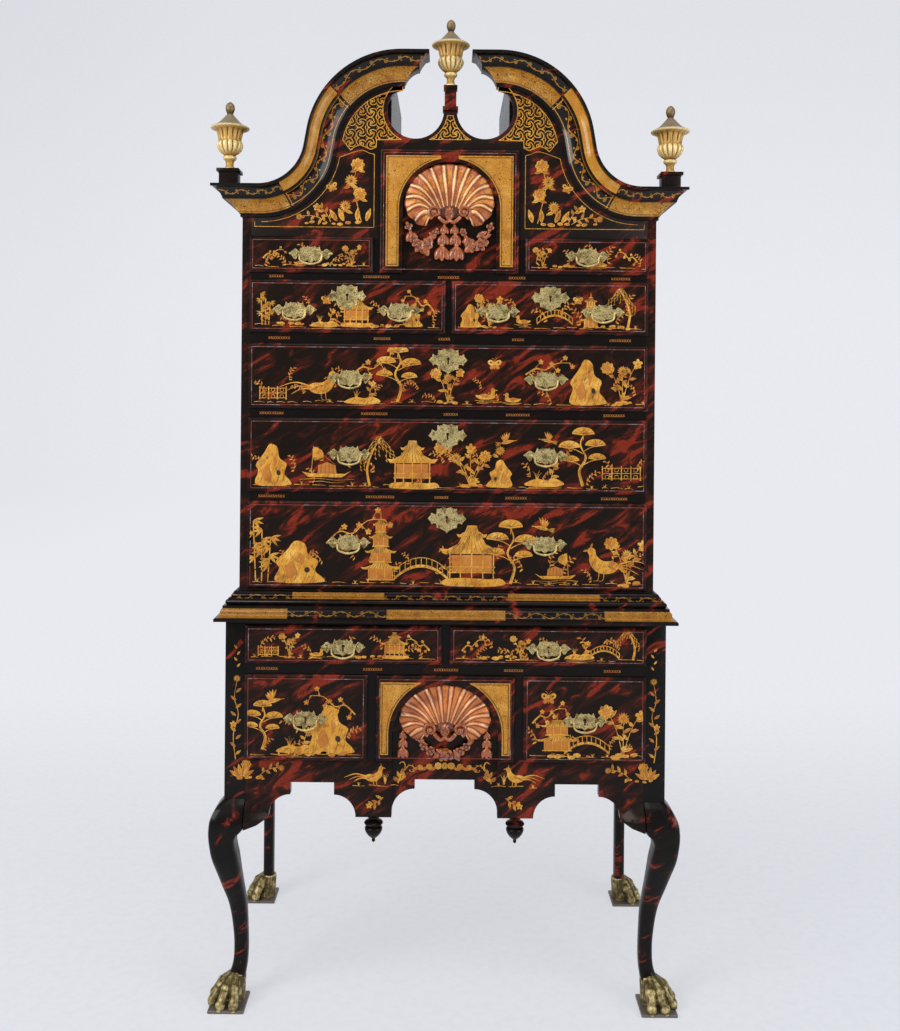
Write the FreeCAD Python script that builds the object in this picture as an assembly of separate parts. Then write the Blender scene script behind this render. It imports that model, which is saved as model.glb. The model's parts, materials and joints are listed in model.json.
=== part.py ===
"""Bonnet-top high chest of drawers with cabriole legs, in millimetres.

The origin is on the floor under the middle of the chest, +Z is up, the front faces -Y and
+X is to the right of someone who faces the front. Each piece is written as one STEP file.
"""
import FreeCAD, Part
import math
import os
from FreeCAD import Vector

# --- carcase ------------------------------------------------------------------------------
UPPER_HALF = 512.0          # half width of the upper case
WAIST_STEP = 27.0           # lower case past the upper case on each side
LOWER_DEPTH = 568.0
UPPER_SETBACK = 28.0        # upper front behind the lower front, backs flush
SIDE_T = 22.0               # side boards
BACK_T = 15.0
BOTTOM_T = 22.0             # bottom board of the upper case
BLADE_D = 22.0              # depth of the front rails and dividers
POST = 52.0                 # square corner posts of the lower case
CLEAR = 1.5                 # drawer to opening at the sides
TOP_CLEAR = 3.0             # drawer to opening at the top
SEAT = 0.3                  # drawer to runner, lip to case front, bail in its post
# --- drawers ------------------------------------------------------------------------------
LIP = 4.0                   # lip past the opening on all sides
LIP_T = 9.0
LIP_ROUND = 5.0
FRONT_T = 14.0              # part of a drawer front inside the opening
SHELL_FRONT_T = 26.0
LINING_T = 10.0             # drawer sides and backs
DRAWER_BOTTOM_T = 7.0
DRAWER_BOTTOM_UP = 8.0      # bottom board above the lower edge of the drawer sides
DRAWER_BEHIND = 35.0        # between an upper drawer and the back boards
# --- heights of the lower case --------------------------------------------------------------
TAB_Z = 463.0               # underside of the apron tabs
APRON_TOP = 606.0
LOW_ROW_H = 202.0           # openings of the lower case
LOW_RAIL_H = 34.0
TOP_ROW_H = 87.0
TOP_RAIL_H = 50.0
LOW_DIVIDER_IN = 165.7      # half width of the shell drawer's opening
LOW_DIVIDER_W = 28.6
TOP_DIVIDER_W = 28.0
# --- heights of the upper case --------------------------------------------------------------
BASE_RAIL_H = 41.5
ROW_H = (208.5, 175.5, 154.0, 123.0, 81.5)   # openings, from the lowest row up
RAIL_H = (30.5, 30.0, 34.0, 25.5)            # rails between those rows
UP_DIVIDER_IN = 168.2
UP_DIVIDER_W = 23.2
PAIR_DIVIDER_W = 22.0
# --- runners ------------------------------------------------------------------------------
RUNNER_T = 18.0
RUNNER_UNDER = 25.0         # width of a runner under the drawer side
GUIDE_H = 20.0
GUIDE_CLEAR = 2.0
# --- apron --------------------------------------------------------------------------------
APRON_T = 22.0
APRON_SETBACK = 12.0        # the middle of the apron lies behind its sides
TAB_IN = 129.5              # the set-back middle ends at the inner edges of the tabs
TAB_OUT = 217.5
ARCH_STEP = 30.0            # height of the square step over each cove
MID_ARCH_STEP = 23.0
MID_ARCH_Z = 552.0
ARCH_Z = 547.3
COVE_R = 53.0
MID_COVE_R = 56.0
ARCH_GAP = 2.5              # between the outer cove and the knee bracket
SIDE_TAB = 60.0             # width of the tab in the middle of each side apron
# --- legs ---------------------------------------------------------------------------------
KNEE_TOP = 505.0
PAW_TOP = 66.0
PAD_H = 8.0
FRONT_PAD = 88.0
PAD_OUT_X = 29.0            # front pads past the side of the case
PAD_OUT_Y = 38.0            # front pads past the front of the case
REAR_PAD_OUT = 45.0         # rear pads past the side of the case
REAR_PAD_BACK = 15.0        # rear pads past the back of the case
REAR_PAD_D = 86.0
TOE_REACH = 46.0
TOE_TURNS = (-60, -21, 21, 60)
PAW_HALF = 46.6             # half breadth of a paw over its outer toes
HEEL_R = (34.0, 30.0, 19.0)
LEG_ROUND = 0.22            # corner radius as a share of the section's width
REAR_LEG_T = 40.0
REAR_SHIN_IN = 33.0         # inner edge of the rear shin inside the side of the case
REAR_SWING = 0.8            # swing of the rear knee as a share of the front one's
BRACKET_RUN = 54.0
BRACKET_T = 20.0
BRACKET_FOOT = 440.0        # lowest point of a bracket, against the leg
STAND_BACK_Z = 520.0        # lower edge of the stand's back board
# --- mouldings ----------------------------------------------------------------------------
WAIST_H = 36.0
WAIST_P = 25.0
BASE_H = 36.0
CROWN_H = 72.0
CROWN_P = 66.0
CROWN_Z = 1933.0            # underside of the crown moulding at the sides
NECK_R = 185.0              # lower, hollow bend of the swan neck at the tympanum
SCROLL_R = 160.0            # upper, round bend
NECK_SLOPE = 80.0           # steepest slope in degrees
NECK_RUN = 42.5             # straight stretch between the bends
SCROLL_END = 118.0          # half width between the two scrolls at the tympanum
LOBE_X = 86.0
LOBE_Z = 2202.0
LOBE_R = 70.0
LOBE_SILL = 32.0            # board left between the lobes and the carved drawer's opening
TYMPANUM_T = 22.0
ROOF_T = 8.0
HOOD_WALL_X = 147.0         # inner walls of the hood behind the opening
HOOD_WALL_T = 10.0
CHANNEL_UNDER = 2.0         # floor of the channel below the lobes
CHANNEL_T = 12.0
# --- finials ------------------------------------------------------------------------------
CENTRE_PLINTH_H = 62.0
SIDE_PLINTH_H = 39.0
PLINTH_OUT = 27.0           # side plinth's middle past the corner of the upper case
FINIAL_H = 166.0
BRIM_R = 47.5
BRIM_Z = 100.5              # brim of an urn above its foot
BUD_H = 30.0
GADROONS = 12
DROP_H = 65.0
DROP_R = 23.4
SIDE_DIE = 44.0             # side plinths: block and cap
SIDE_CAP = 54.0
CENTRE_DIE = 29.0           # middle plinth: block, cap and foot ring
CENTRE_CAP = 34.0
CENTRE_FOOT = 38.0
PLINTH_CAP_H = 8.0
PLINTH_FOOT_H = 9.0
# --- carved shells --------------------------------------------------------------------------
RECESS_DEPTH = 18.0
UP_RECESS_R = 116.0
UP_RECESS_TOP = 27.0        # arch of the recess below the top of the opening
LOW_RECESS_R = TAB_IN
LOW_RECESS_TOP = 17.5
SHELL_RIBS = 13
SWAG_STEPS = 10
SHELL_D = 30.0              # how far a shell stands out from the floor of its recess
UP_FAN_R = 112.0
UP_HUB_DOWN = 122.0         # hub of the fan below the top of its arch
LOW_FAN_R = 107.0
LOW_HUB_DOWN = 110.5
PENDANT_ROOM = 150.0        # carving reaches this far below its hub
# --- brasses ------------------------------------------------------------------------------
PLATE_T = 1.6
PLATE_HALF = 55.0
PLATE_TOP = 20.5
POST_X = 33.0
POST_R = 3.5
POST_LEN = 11.0
BAIL_OUT = 6.6              # hinge line of a bail in front of its plate
BAIL_R = 2.2
BAIL_X = 26.4               # arms of a bail, inside its posts
BAIL_BEND = 2.3             # size of the bend between a pin and its arm
BAIL_DROP = 25.0
LONG_PULL_X = 242.0
LONG_PULL_UP = (6.8, 2.2, -4.4)       # pulls above the middle of each long drawer
LONG_KEY_UP = (68.0, 50.7, 41.6)
PAIR_PULL_X = 129.5
PAIR_PULL_UP = -10.5
PAIR_KEY_UP = 24.5
STAND_TOP_PULL_UP = -5.0
STAND_SIDE_PULL_UP = -2.0
LOCK_W = 60.0
LOCK_H = 32.0
LOCK_T = 8.0
ESCUTCHEON_HALF = 47.8
ESCUTCHEON_TOP = 28.6       # above the middle of the keyhole
KEY_R = 3.4

# --- derived ------------------------------------------------------------------------------
LOWER_HALF = UPPER_HALF + WAIST_STEP
DRAWER_DEPTH = LOWER_DEPTH - UPPER_SETBACK - BACK_T - DRAWER_BEHIND
FRONT_REACH = PLINTH_OUT + BRIM_R - UPPER_SETBACK       # side finials past the case front
BACK_REACH = REAR_PAD_BACK - REAR_PAD_D / 2 + PAW_HALF  # rear paws past the case back
FRONT = -(LOWER_DEPTH + FRONT_REACH + BACK_REACH) / 2 + FRONT_REACH
BACK = FRONT + LOWER_DEPTH
UPPER_FRONT = FRONT + UPPER_SETBACK
UPPER_IN = UPPER_HALF - SIDE_T
POST_IN = LOWER_HALF - POST
ARCH_OUT = POST_IN - BRACKET_RUN - ARCH_GAP
LOW_ROW_TOP = APRON_TOP + LOW_ROW_H
TOP_ROW_Z = LOW_ROW_TOP + LOW_RAIL_H
TOP_ROW_TOP = TOP_ROW_Z + TOP_ROW_H
LOWER_TOP = TOP_ROW_TOP + TOP_RAIL_H
ROW_Z = [LOWER_TOP + BASE_RAIL_H]
for _row, _rail in zip(ROW_H, RAIL_H):
    ROW_Z.append(ROW_Z[-1] + _row + _rail)
TYMPANUM_Z = ROW_Z[4] + ROW_H[4]
SHELL_OPENING_TOP = LOBE_Z - LOBE_R - LOBE_SILL
CHANNEL_Z = LOBE_Z - LOBE_R - CHANNEL_UNDER
UP_ARCH_Z = SHELL_OPENING_TOP - UP_RECESS_TOP
LOW_ARCH_Z = LOW_ROW_TOP - LOW_RECESS_TOP
SCROLL_Z = CROWN_Z + (NECK_R + SCROLL_R) * (1 - math.cos(math.radians(NECK_SLOPE))) \
    + NECK_RUN * math.sin(math.radians(NECK_SLOPE))
NECK_START = SCROLL_END + (NECK_R + SCROLL_R) * math.sin(math.radians(NECK_SLOPE)) \
    + NECK_RUN * math.cos(math.radians(NECK_SLOPE))
CROWN_TOP = CROWN_Z + CROWN_H


# --- small helpers ------------------------------------------------------------------------
def block(x0, x1, y0, y1, z0, z1):
    """A board between two corners."""
    return Part.makeBox(x1 - x0, y1 - y0, z1 - z0, Vector(x0, y0, z0))


def mirrored(shape):
    """The same shape on the other side of the middle."""
    return shape.mirror(Vector(0, 0, 0), Vector(1, 0, 0))


def both(shape):
    return [shape, mirrored(shape)]


def outline(points, plane):
    """Face of a closed outline: a point is (a, b), or (a, b, via_a, via_b) for an arc to it."""
    spots = [plane(*point[:2]) for point in points]
    edges = []
    for i, point in enumerate(points):
        start = spots[i - 1]
        end = spots[i]
        if len(point) == 4:
            edges.append(Part.Arc(start, plane(*point[2:]), end).toShape())
        elif start.distanceToPoint(end) > 1e-6:
            edges.append(Part.LineSegment(start, end).toShape())
    return Part.Face(Part.Wire(Part.__sortEdges__(edges)))


def front_face(points, y):
    """Outline drawn on a plane that faces the front."""
    return outline(points, lambda x, z: Vector(x, y, z))


def panel(points, y0, y1):
    return front_face(points, y0).extrude(Vector(0, y1 - y0, 0))


def joined(shapes):
    first = shapes[0]
    if len(shapes) == 1:
        return first
    return first.fuse(shapes[1:]).removeSplitter()


def solids_of(shapes):
    """All the solids of a list of shapes."""
    return [solid for shape in shapes for solid in shape.Solids]


def save(name, shapes):
    """Writes one piece, or a group of like pieces, as one STEP file."""
    solids = solids_of(shapes if isinstance(shapes, list) else [shapes])
    for solid in solids:
        if not solid.isValid():
            raise ValueError(name + " holds a solid that is not valid")
    whole = solids[0] if len(solids) == 1 else Part.makeCompound(solids)
    whole.exportStep("parts/" + name + ".step")
    print(name, len(solids))


def tube(points, radii, side, sides=8):
    """Many-sided tube along points that lie in one plane; side is square to that plane."""
    wires = []
    for i, (point, radius) in enumerate(zip(points, radii)):
        before = point - points[i - 1] if i else points[1] - point
        after = points[i + 1] - point if i + 1 < len(points) else before
        before = Vector(before).normalize()
        after = Vector(after).normalize()
        across = (before + after).normalize().cross(side)
        stretch = 1 / max(0.7, math.sqrt((1 + before.dot(after)) / 2))
        corners = []
        for k in range(sides):
            a = 2 * math.pi * (k + 0.5) / sides
            corners.append(point + across * (radius * stretch * math.cos(a))
                           + side * (radius * math.sin(a)))
        wires.append(Part.makePolygon(corners + corners[:1]))
    return Part.makeLoft(wires, True, True)


def turned(profile, x, y, z):
    """Piece turned about an upright axis from a (radius, height) profile."""
    face = outline(profile, lambda r, h: Vector(x + r, y, z + h))
    return face.revolve(Vector(x, y, z), Vector(0, 0, 1), 360)


# --- mouldings ----------------------------------------------------------------------------
def waist_profile():
    """Ogee on the lower case: (projection, height) from the foot of the moulding."""
    return [(0, 0), (WAIST_P, 0), (WAIST_P, 7), (WAIST_P - 3, 8.5),
            (WAIST_P - 13, 20, WAIST_P - 10.5, 12.5), (WAIST_P - 18, 30, WAIST_P - 14.2, 26),
            (WAIST_P - 18, WAIST_H), (0, WAIST_H)]


def base_profile():
    """Torus and cove around the foot of the upper case, as wide as the step beside it."""
    shares = [(0, 0), (0.96, 0), (0.96, 3), (0.96, 13, 1.055, 8), (0.81, 14), (0.81, 17),
              (0.56, 19), (0.48, 26, 0.61, 23), (0.11, 33, 0.37, 31.5), (0.075, BASE_H),
              (0, BASE_H)]
    points = []
    for out, up, *via in shares:
        turn = (via[0] * WAIST_STEP, via[1]) if via else ()
        points.append((out * WAIST_STEP, up, *turn))
    return points


def crown_profile():
    """Bead, cove, ovolo and top fillet: (projection, height) from the tympanum's edge."""
    return [(0, 0), (3, 0), (5, 3), (4, 7), (6.5, 8.6), (37, 39, 18.5, 27.5), (42, 39.5),
            (42, 43.5), (47, 52.5), (56, 64.4), (CROWN_P, 68), (CROWN_P, CROWN_H),
            (0, CROWN_H)]


def straight_moulding(profile, y, z, plan):
    """Moulding along the front, cut to the mitres of its plan."""
    length = max(abs(corner[0]) for corner in plan) + 10
    face = outline(profile, lambda p, h: Vector(-length, y - p, z + h))
    return face.extrude(Vector(2 * length, 0, 0)).common(plan_block(plan, profile, z))


def side_moulding(profile, x, y0, y1, z, plan, turn=1):
    """Moulding that stands out along X from a plane and runs from front to back."""
    face = outline(profile, lambda p, h: Vector(x + turn * p, y0, z + h))
    return face.extrude(Vector(0, y1 - y0, 0)).common(plan_block(plan, profile, z))


def plan_block(plan, profile, z):
    height = max(point[1] for point in profile)
    face = outline(plan, lambda x, y: Vector(x, y, z - 1))
    return face.extrude(Vector(0, 0, height + 2))


def three_sided(profile, half, front, z):
    """A moulding along the front and both sides with mitred corners."""
    reach = max(point[0] for point in profile) + 5
    front_plan = [(-half, front), (half, front), (half + reach, front - reach),
                  (-half - reach, front - reach)]
    side_plan = [(half, front), (half + reach, front - reach), (half + reach, BACK),
                 (half, BACK)]
    side = side_moulding(profile, half, front - reach, BACK, z, side_plan)
    return [straight_moulding(profile, front, z, front_plan)] + both(side)


# --- lower case ---------------------------------------------------------------------------
def arch(x_in, x_out, top, step, radius):
    """Right half of an arch in an apron edge, from its tab at x_out to its middle at x_in."""
    turn = radius * math.sqrt(0.5)
    spring = top - step - radius
    x_step = x_out - radius
    return [(x_out, TAB_Z), (x_out, spring),
            (x_step, spring + radius, x_step + turn, spring + turn),
            (x_step, top), (x_in, top)]


def whole_arch(x_left, x_right, top, step, radius):
    """Arch from the left tab edge to the right tab edge, in walking order."""
    mid = (x_left + x_right) / 2
    right = arch(mid, x_right, top, step, radius)
    left = []
    for p in right:
        point = (2 * mid - p[0], p[1])
        if len(p) == 4:
            point += (2 * mid - p[2], p[3])
        left.append(point)
    back = [right[-1][:2]]
    for i in range(len(right) - 2, -1, -1):
        point = right[i][:2]
        if len(right[i + 1]) == 4:
            point += right[i + 1][2:]
        back.append(point)
    return left + back[1:]


def front_apron():
    """Apron board with three arches; its middle is set back under the carved drawer."""
    y = FRONT
    side = panel([(TAB_IN, TAB_Z)]
                 + whole_arch(TAB_OUT, ARCH_OUT, ARCH_Z, ARCH_STEP, COVE_R)
                 + [(POST_IN, TAB_Z), (POST_IN, APRON_TOP), (TAB_IN, APRON_TOP)],
                 y, y + APRON_T)
    middle_edge = whole_arch(-TAB_IN, TAB_IN, MID_ARCH_Z, MID_ARCH_STEP, MID_COVE_R)[1:-1]
    middle = panel(middle_edge + [(TAB_IN, APRON_TOP), (-TAB_IN, APRON_TOP)],
                   y + APRON_SETBACK, y + APRON_SETBACK + APRON_T)
    return joined([side, mirrored(side), middle])


def side_board():
    """Side of the lower case between the posts, with its own shaped apron."""
    y0 = FRONT + POST
    y1 = BACK - POST
    mid = (y0 + y1) / 2
    tab = SIDE_TAB / 2
    left = y0 + BRACKET_RUN
    right = y1 - BRACKET_RUN
    points = ([(y0, TAB_Z)] + whole_arch(left, mid - tab, ARCH_Z, ARCH_STEP, COVE_R)
              + whole_arch(mid + tab, right, ARCH_Z, ARCH_STEP, COVE_R)
              + [(y1, TAB_Z), (y1, LOWER_TOP), (y0, LOWER_TOP)])
    face = outline(points, lambda y, z: Vector(LOWER_HALF - SIDE_T, y, z))
    return face.extrude(Vector(SIDE_T, 0, 0))


def rounded_square(x0, x1, y0, y1, z):
    """Section of a leg: a square with soft corners."""
    r = LEG_ROUND * (x1 - x0)
    k = r * (1 - math.sqrt(0.5))
    points = [(x0 + r, y0), (x1 - r, y0), (x1, y0 + r, x1 - k, y0 + k), (x1, y1 - r),
              (x1 - r, y1, x1 - k, y1 - k), (x0 + r, y1), (x0, y1 - r, x0 + k, y1 - k),
              (x0, y0 + r), (x0 + r, y0, x0 + k, y0 + k)]
    return outline(points[1:], lambda x, y: Vector(x, y, z)).OuterWire


# A leg's side view: height, outer edge past the post's outer face, inner edge inside it.
KNEE = ((KNEE_TOP, 0.0, POST), (488.0, 17.0, POST), (462.0, 30.5, POST), (439.0, 34.0, POST),
        (427.0, 34.0, 38.0))
SHIN = ((427.0, 34.0, 38.0), (408.0, 32.8, 29.5), (361.0, 27.0, 37.5), (298.0, 8.5, 45.0),
        (236.0, -10.0, 52.5), (165.0, -19.6, 55.4), (118.0, -21.0, 56.0), (86.0, -18.0, 54.5),
        (60.0, -9.0, 51.0))


def leg_loft(rows, section):
    return Part.makeLoft([section(*row) for row in rows], True, False)


def toe(spot, heading, reach):
    """One toe of a paw, from the ankle over its knuckles to the claw."""
    way = Vector(math.cos(heading), math.sin(heading), 0)
    steps = ((0.05, 60, 9), (0.42, 46, 11), (0.68, 34, 12.5), (0.82, 24, 9), (0.95, 15, 10),
             (1.08, 4, 3.5))
    points = [spot + way * (reach * part) + Vector(0, 0, up) for part, up, _ in steps]
    return tube(points, [step[2] for step in steps], way.cross(Vector(0, 0, 1)))


def paw(x, y, heading, pad):
    """Paw on its pad; pad gives the corners x0, x1, y0, y1."""
    spot = Vector(x, y, 0)
    heel = tube([Vector(x, y, up) for up in (PAD_H - 1, PAW_TOP * 0.45, PAW_TOP)], HEEL_R,
                Vector(1, 0, 0), 12)
    parts = [heel, block(*pad, 0, PAD_H)]
    for turn in TOE_TURNS:
        parts.append(toe(spot, heading + math.radians(turn), TOE_REACH))
    reach = TOE_REACH + 20
    return [joined(parts).common(block(x - reach, x + reach, y - reach, y + reach, 0,
                                       PAW_TOP + 10))]


def front_leg():
    """Right front leg: square post, knee, shin and paw in one piece."""
    xo = LOWER_HALF
    yo = FRONT

    def section(z, outer, inner):
        return rounded_square(xo - inner, xo + outer, yo - outer, yo + inner, z)

    post = block(xo - POST, xo, yo, yo + POST, KNEE_TOP, LOWER_TOP)
    knee = leg_loft(KNEE, section).common(block(xo - POST, xo + POST, yo - POST, yo + POST,
                                                TAB_Z - POST, KNEE_TOP))
    shin = leg_loft(SHIN, section)
    pad = (xo + PAD_OUT_X - FRONT_PAD, xo + PAD_OUT_X, yo - PAD_OUT_Y,
           yo - PAD_OUT_Y + FRONT_PAD)
    foot = paw((pad[0] + pad[1]) / 2 - 4, (pad[2] + pad[3]) / 2 + 4, math.radians(-45), pad)
    return joined([post, knee, shin] + foot)


def rear_leg():
    """Right rear leg: it curves to the side only."""
    xo = LOWER_HALF

    def section(z, outer, inner):
        depth = max(REAR_LEG_T, POST - max(0.0, KNEE_TOP - z) * 0.1)
        inner_x = REAR_SHIN_IN if z < KNEE_TOP - 40 else POST
        return rounded_square(xo - min(inner, inner_x), xo + max(outer, -3.0) * REAR_SWING,
                              BACK - depth, BACK, z)

    post = block(xo - POST, xo, BACK - POST, BACK, KNEE_TOP, LOWER_TOP)
    leg = leg_loft(KNEE + SHIN[1:], section).common(block(xo - POST, xo + POST, BACK - POST,
                                                          BACK, 0, KNEE_TOP))
    pad = (xo + REAR_PAD_OUT - FRONT_PAD, xo + REAR_PAD_OUT,
           BACK + REAR_PAD_BACK - REAR_PAD_D, BACK + REAR_PAD_BACK)
    foot = paw((pad[0] + pad[1]) / 2 - 6, (pad[2] + pad[3]) / 2, 0.0, pad)
    return joined([post, leg] + foot)


def bracket():
    """Knee bracket in its own frame: it runs along +X from the post and stands out to -Y."""
    def section(x, top, far, outs, foot):
        points = [(0, top), (-outs[0], top - far), (-outs[1], TAB_Z - 2), (-outs[1], foot),
                  (BRACKET_T, foot), (BRACKET_T, TAB_Z), (0, TAB_Z)]
        return outline(points, lambda y, z: Vector(x, y, z)).OuterWire

    near = section(0, KNEE_TOP - 2, 20, (18.0, 31.0), BRACKET_FOOT)
    half = section(BRACKET_RUN * 0.55, KNEE_TOP - 14, 14, (9.0, 18.0), BRACKET_FOOT + 7)
    far = section(BRACKET_RUN, TAB_Z + 8, 4, (2.0, 4.0), TAB_Z - 3)
    return Part.makeLoft([near, half, far], True, True)


def knee_brackets():
    """Six brackets: beside the front knees on two sides, beside the rear knees on one."""
    base = bracket()
    front = base.copy()
    front.translate(Vector(-POST_IN, FRONT, 0))
    side_front = base.copy()
    side_front.rotate(Vector(0, 0, 0), Vector(0, 0, 1), 90)
    side_front.translate(Vector(LOWER_HALF, FRONT + POST, 0))
    side_rear = side_front.mirror(Vector(0, (FRONT + BACK) / 2, 0), Vector(0, 1, 0))
    return both(front) + both(side_front) + both(side_rear)


def drop_finial():
    """Turned drop under an apron tab."""
    profile = [(0, 0), (14, 0), (14, -4), (6, -6), (6, -9), (15, -12), (21, -16), (DROP_R, -20),
               (21.5, -25), (20, -35), (14, -46), (5, -DROP_H + 9), (4.5, -DROP_H + 5),
               (2, -DROP_H), (0, -DROP_H)]
    return turned(profile, (TAB_IN + TAB_OUT) / 2, FRONT + APRON_T / 2, TAB_Z)


def lower_blades():
    """Front rails and dividers of the lower case."""
    y0 = FRONT
    y1 = FRONT + BLADE_D
    half = TOP_DIVIDER_W / 2
    divider_out = LOW_DIVIDER_IN + LOW_DIVIDER_W
    return ([block(-POST_IN, POST_IN, y0, y1, LOW_ROW_TOP, TOP_ROW_Z),
             block(-POST_IN, POST_IN, y0, y1, TOP_ROW_TOP, LOWER_TOP),
             block(-half, half, y0, y1, TOP_ROW_Z, TOP_ROW_TOP)]
            + both(block(LOW_DIVIDER_IN, divider_out, y0, y1, APRON_TOP, LOW_ROW_TOP)))


def runner_pair(z, x_wall, x_edge, y0, notch):
    """Runners along both case sides; notch is the length cut away round the corner posts."""
    y1 = BACK - BACK_T
    inner = block(x_edge - RUNNER_UNDER, x_edge, y0, y1, z - RUNNER_T, z)
    if x_wall - x_edge < 1:
        return both(inner)
    outer = block(x_edge, x_wall, FRONT + notch, BACK - notch, z - RUNNER_T, z + GUIDE_H)
    return both(joined([inner, outer]))


def middle_runner(x0, x1, z, y0, reach):
    """Runner behind a divider, with a guide between the two drawers that it carries."""
    y1 = BACK - BACK_T
    board = block(x0 - reach, x1 + reach, y0, y1, z - RUNNER_T, z)
    guide = block(x0 + GUIDE_CLEAR, x1 - GUIDE_CLEAR, y0, y1, z, z + GUIDE_H)
    return joined([board, guide])


def lower_runners():
    y0 = FRONT + BLADE_D
    wall = LOWER_HALF - SIDE_T
    half = TOP_DIVIDER_W / 2
    out = LOW_DIVIDER_IN + LOW_DIVIDER_W
    parts = runner_pair(TOP_ROW_Z, wall, POST_IN, y0, POST)
    parts += runner_pair(APRON_TOP, wall, POST_IN, FRONT + APRON_T, POST)
    parts.append(middle_runner(-half, half, TOP_ROW_Z, y0, RUNNER_UNDER))
    parts += both(middle_runner(LOW_DIVIDER_IN, out, APRON_TOP, y0, RUNNER_UNDER))
    return parts


def lower_back():
    """Back board between the rear posts."""
    return block(-POST_IN, POST_IN, BACK - BACK_T, BACK, STAND_BACK_Z, LOWER_TOP)


# --- upper case ---------------------------------------------------------------------------
def swan_neck(n):
    """Left half of the swan neck, n outside the tympanum's edge, from the side to the scroll."""
    steep = math.radians(NECK_SLOPE)
    hollow = (-NECK_START, CROWN_Z + NECK_R)
    dome = (-SCROLL_END, SCROLL_Z - SCROLL_R)
    r0 = NECK_R - n
    r1 = SCROLL_R + n
    bend = [(hollow[0] + r0 * math.sin(a), hollow[1] - r0 * math.cos(a))
            for a in (0.0, steep / 2, steep)]
    crest = [(dome[0] - r1 * math.sin(a), dome[1] + r1 * math.cos(a))
             for a in (steep, steep / 2, 0.0)]
    return [bend[0], bend[2] + bend[1], crest[0], crest[2] + crest[1]]


def under_neck(n, x_side, z_low):
    """Left half of the area below the swan neck, out to x_side and down to z_low."""
    return ([(0, z_low), (-x_side, z_low), (-x_side, CROWN_Z + n)] + swan_neck(n)
            + [(0, SCROLL_Z + n)])


def tympanum():
    """Front board below the swan neck, with its two-lobed opening and the shell drawer's."""
    y0 = UPPER_FRONT
    y1 = UPPER_FRONT + TYMPANUM_T
    half = panel(under_neck(CROWN_H, UPPER_IN, TYMPANUM_Z), y0, y1)
    board = joined([half, mirrored(half)])
    for side in (-1, 1):
        board = board.cut(Part.makeCylinder(LOBE_R, TYMPANUM_T + 2,
                                            Vector(side * LOBE_X, y0 - 1, LOBE_Z),
                                            Vector(0, 1, 0)))
    board = board.cut(block(-SCROLL_END, SCROLL_END, y0 - 1, y1 + 1, LOBE_Z,
                            SCROLL_Z + CROWN_H + 1))
    return board.cut(block(-UP_DIVIDER_IN, UP_DIVIDER_IN, y0 - 1, y1 + 1, TYMPANUM_Z - 1,
                           SHELL_OPENING_TOP))


def crown_front():
    """Left swan neck: the crown's profile taken round both bends, mitred at both ends."""
    y = UPPER_FRONT
    profile = crown_profile()
    steep = NECK_SLOPE
    hollow = Vector(-NECK_START, y, CROWN_Z + NECK_R)
    dome = Vector(-SCROLL_END, y, SCROLL_Z - SCROLL_R)

    def section(x, z):
        return outline(profile, lambda p, h: Vector(x, y - p, z + h))

    reach = CROWN_P + 5
    start = -UPPER_HALF - reach
    flat = section(start, CROWN_Z).extrude(Vector(-NECK_START - start, 0, 0))
    bend = section(-NECK_START, CROWN_Z).revolve(hollow, Vector(0, -1, 0), steep)
    crest = section(-SCROLL_END, SCROLL_Z).revolve(dome, Vector(0, -1, 0), steep)
    rise = section(0, 0)
    rise.rotate(Vector(0, y, 0), Vector(0, -1, 0), steep)
    run = Vector(math.cos(math.radians(steep)), 0, math.sin(math.radians(steep)))
    foot = Vector(hollow.x + NECK_R * run.z, 0, hollow.z - NECK_R * run.x)
    rise.translate(foot)
    rise = rise.extrude(run * NECK_RUN)
    end = section(-SCROLL_END, SCROLL_Z).extrude(Vector(reach, 0, 0))
    whole = joined([flat, bend, rise, crest, end])
    plan = [(-UPPER_HALF, y), (-UPPER_HALF - reach, y - reach),
            (-SCROLL_END + reach, y - reach), (-SCROLL_END, y)]
    face = outline(plan, lambda a, b: Vector(a, b, CROWN_Z - 1))
    return whole.common(face.extrude(Vector(0, 0, SCROLL_Z + CROWN_H - CROWN_Z + 2)))


def crown_returns():
    """Crown along the right side of the case and round the right scroll's end."""
    profile = crown_profile()
    y = UPPER_FRONT
    reach = CROWN_P + 5
    side_plan = [(UPPER_HALF, y), (UPPER_HALF + reach, y - reach), (UPPER_HALF + reach, BACK),
                 (UPPER_HALF, BACK)]
    side = side_moulding(profile, UPPER_HALF, y - reach, BACK, CROWN_Z, side_plan)
    inner_plan = [(SCROLL_END, y), (SCROLL_END - reach, y - reach),
                  (SCROLL_END - reach, y + TYMPANUM_T), (SCROLL_END, y + TYMPANUM_T)]
    inner = side_moulding(profile, SCROLL_END, y - reach, y + TYMPANUM_T, SCROLL_Z,
                          inner_plan, -1)
    return [side, inner]


def hood():
    """Left half of the hood: its roof and the inner wall beside the channel."""
    y0 = UPPER_FRONT + TYMPANUM_T
    y1 = BACK
    roof = panel(under_neck(CROWN_H, UPPER_IN, CROWN_Z), y0, y1)
    hollow = panel(under_neck(CROWN_H - ROOF_T, UPPER_IN + 1, CROWN_Z - 1), y0 - 1, y1 + 1)
    roof = roof.cut(hollow)
    roof = roof.cut(block(-HOOD_WALL_X, 1, y0 - 1, y1 + 1, CROWN_Z, SCROLL_Z + CROWN_H + 1))
    wall = block(-HOOD_WALL_X - HOOD_WALL_T, -HOOD_WALL_X, y0, y1 - BACK_T, CHANNEL_Z,
                 SCROLL_Z + CROWN_H)
    wall = wall.common(hollow)
    return [roof, wall]


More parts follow.
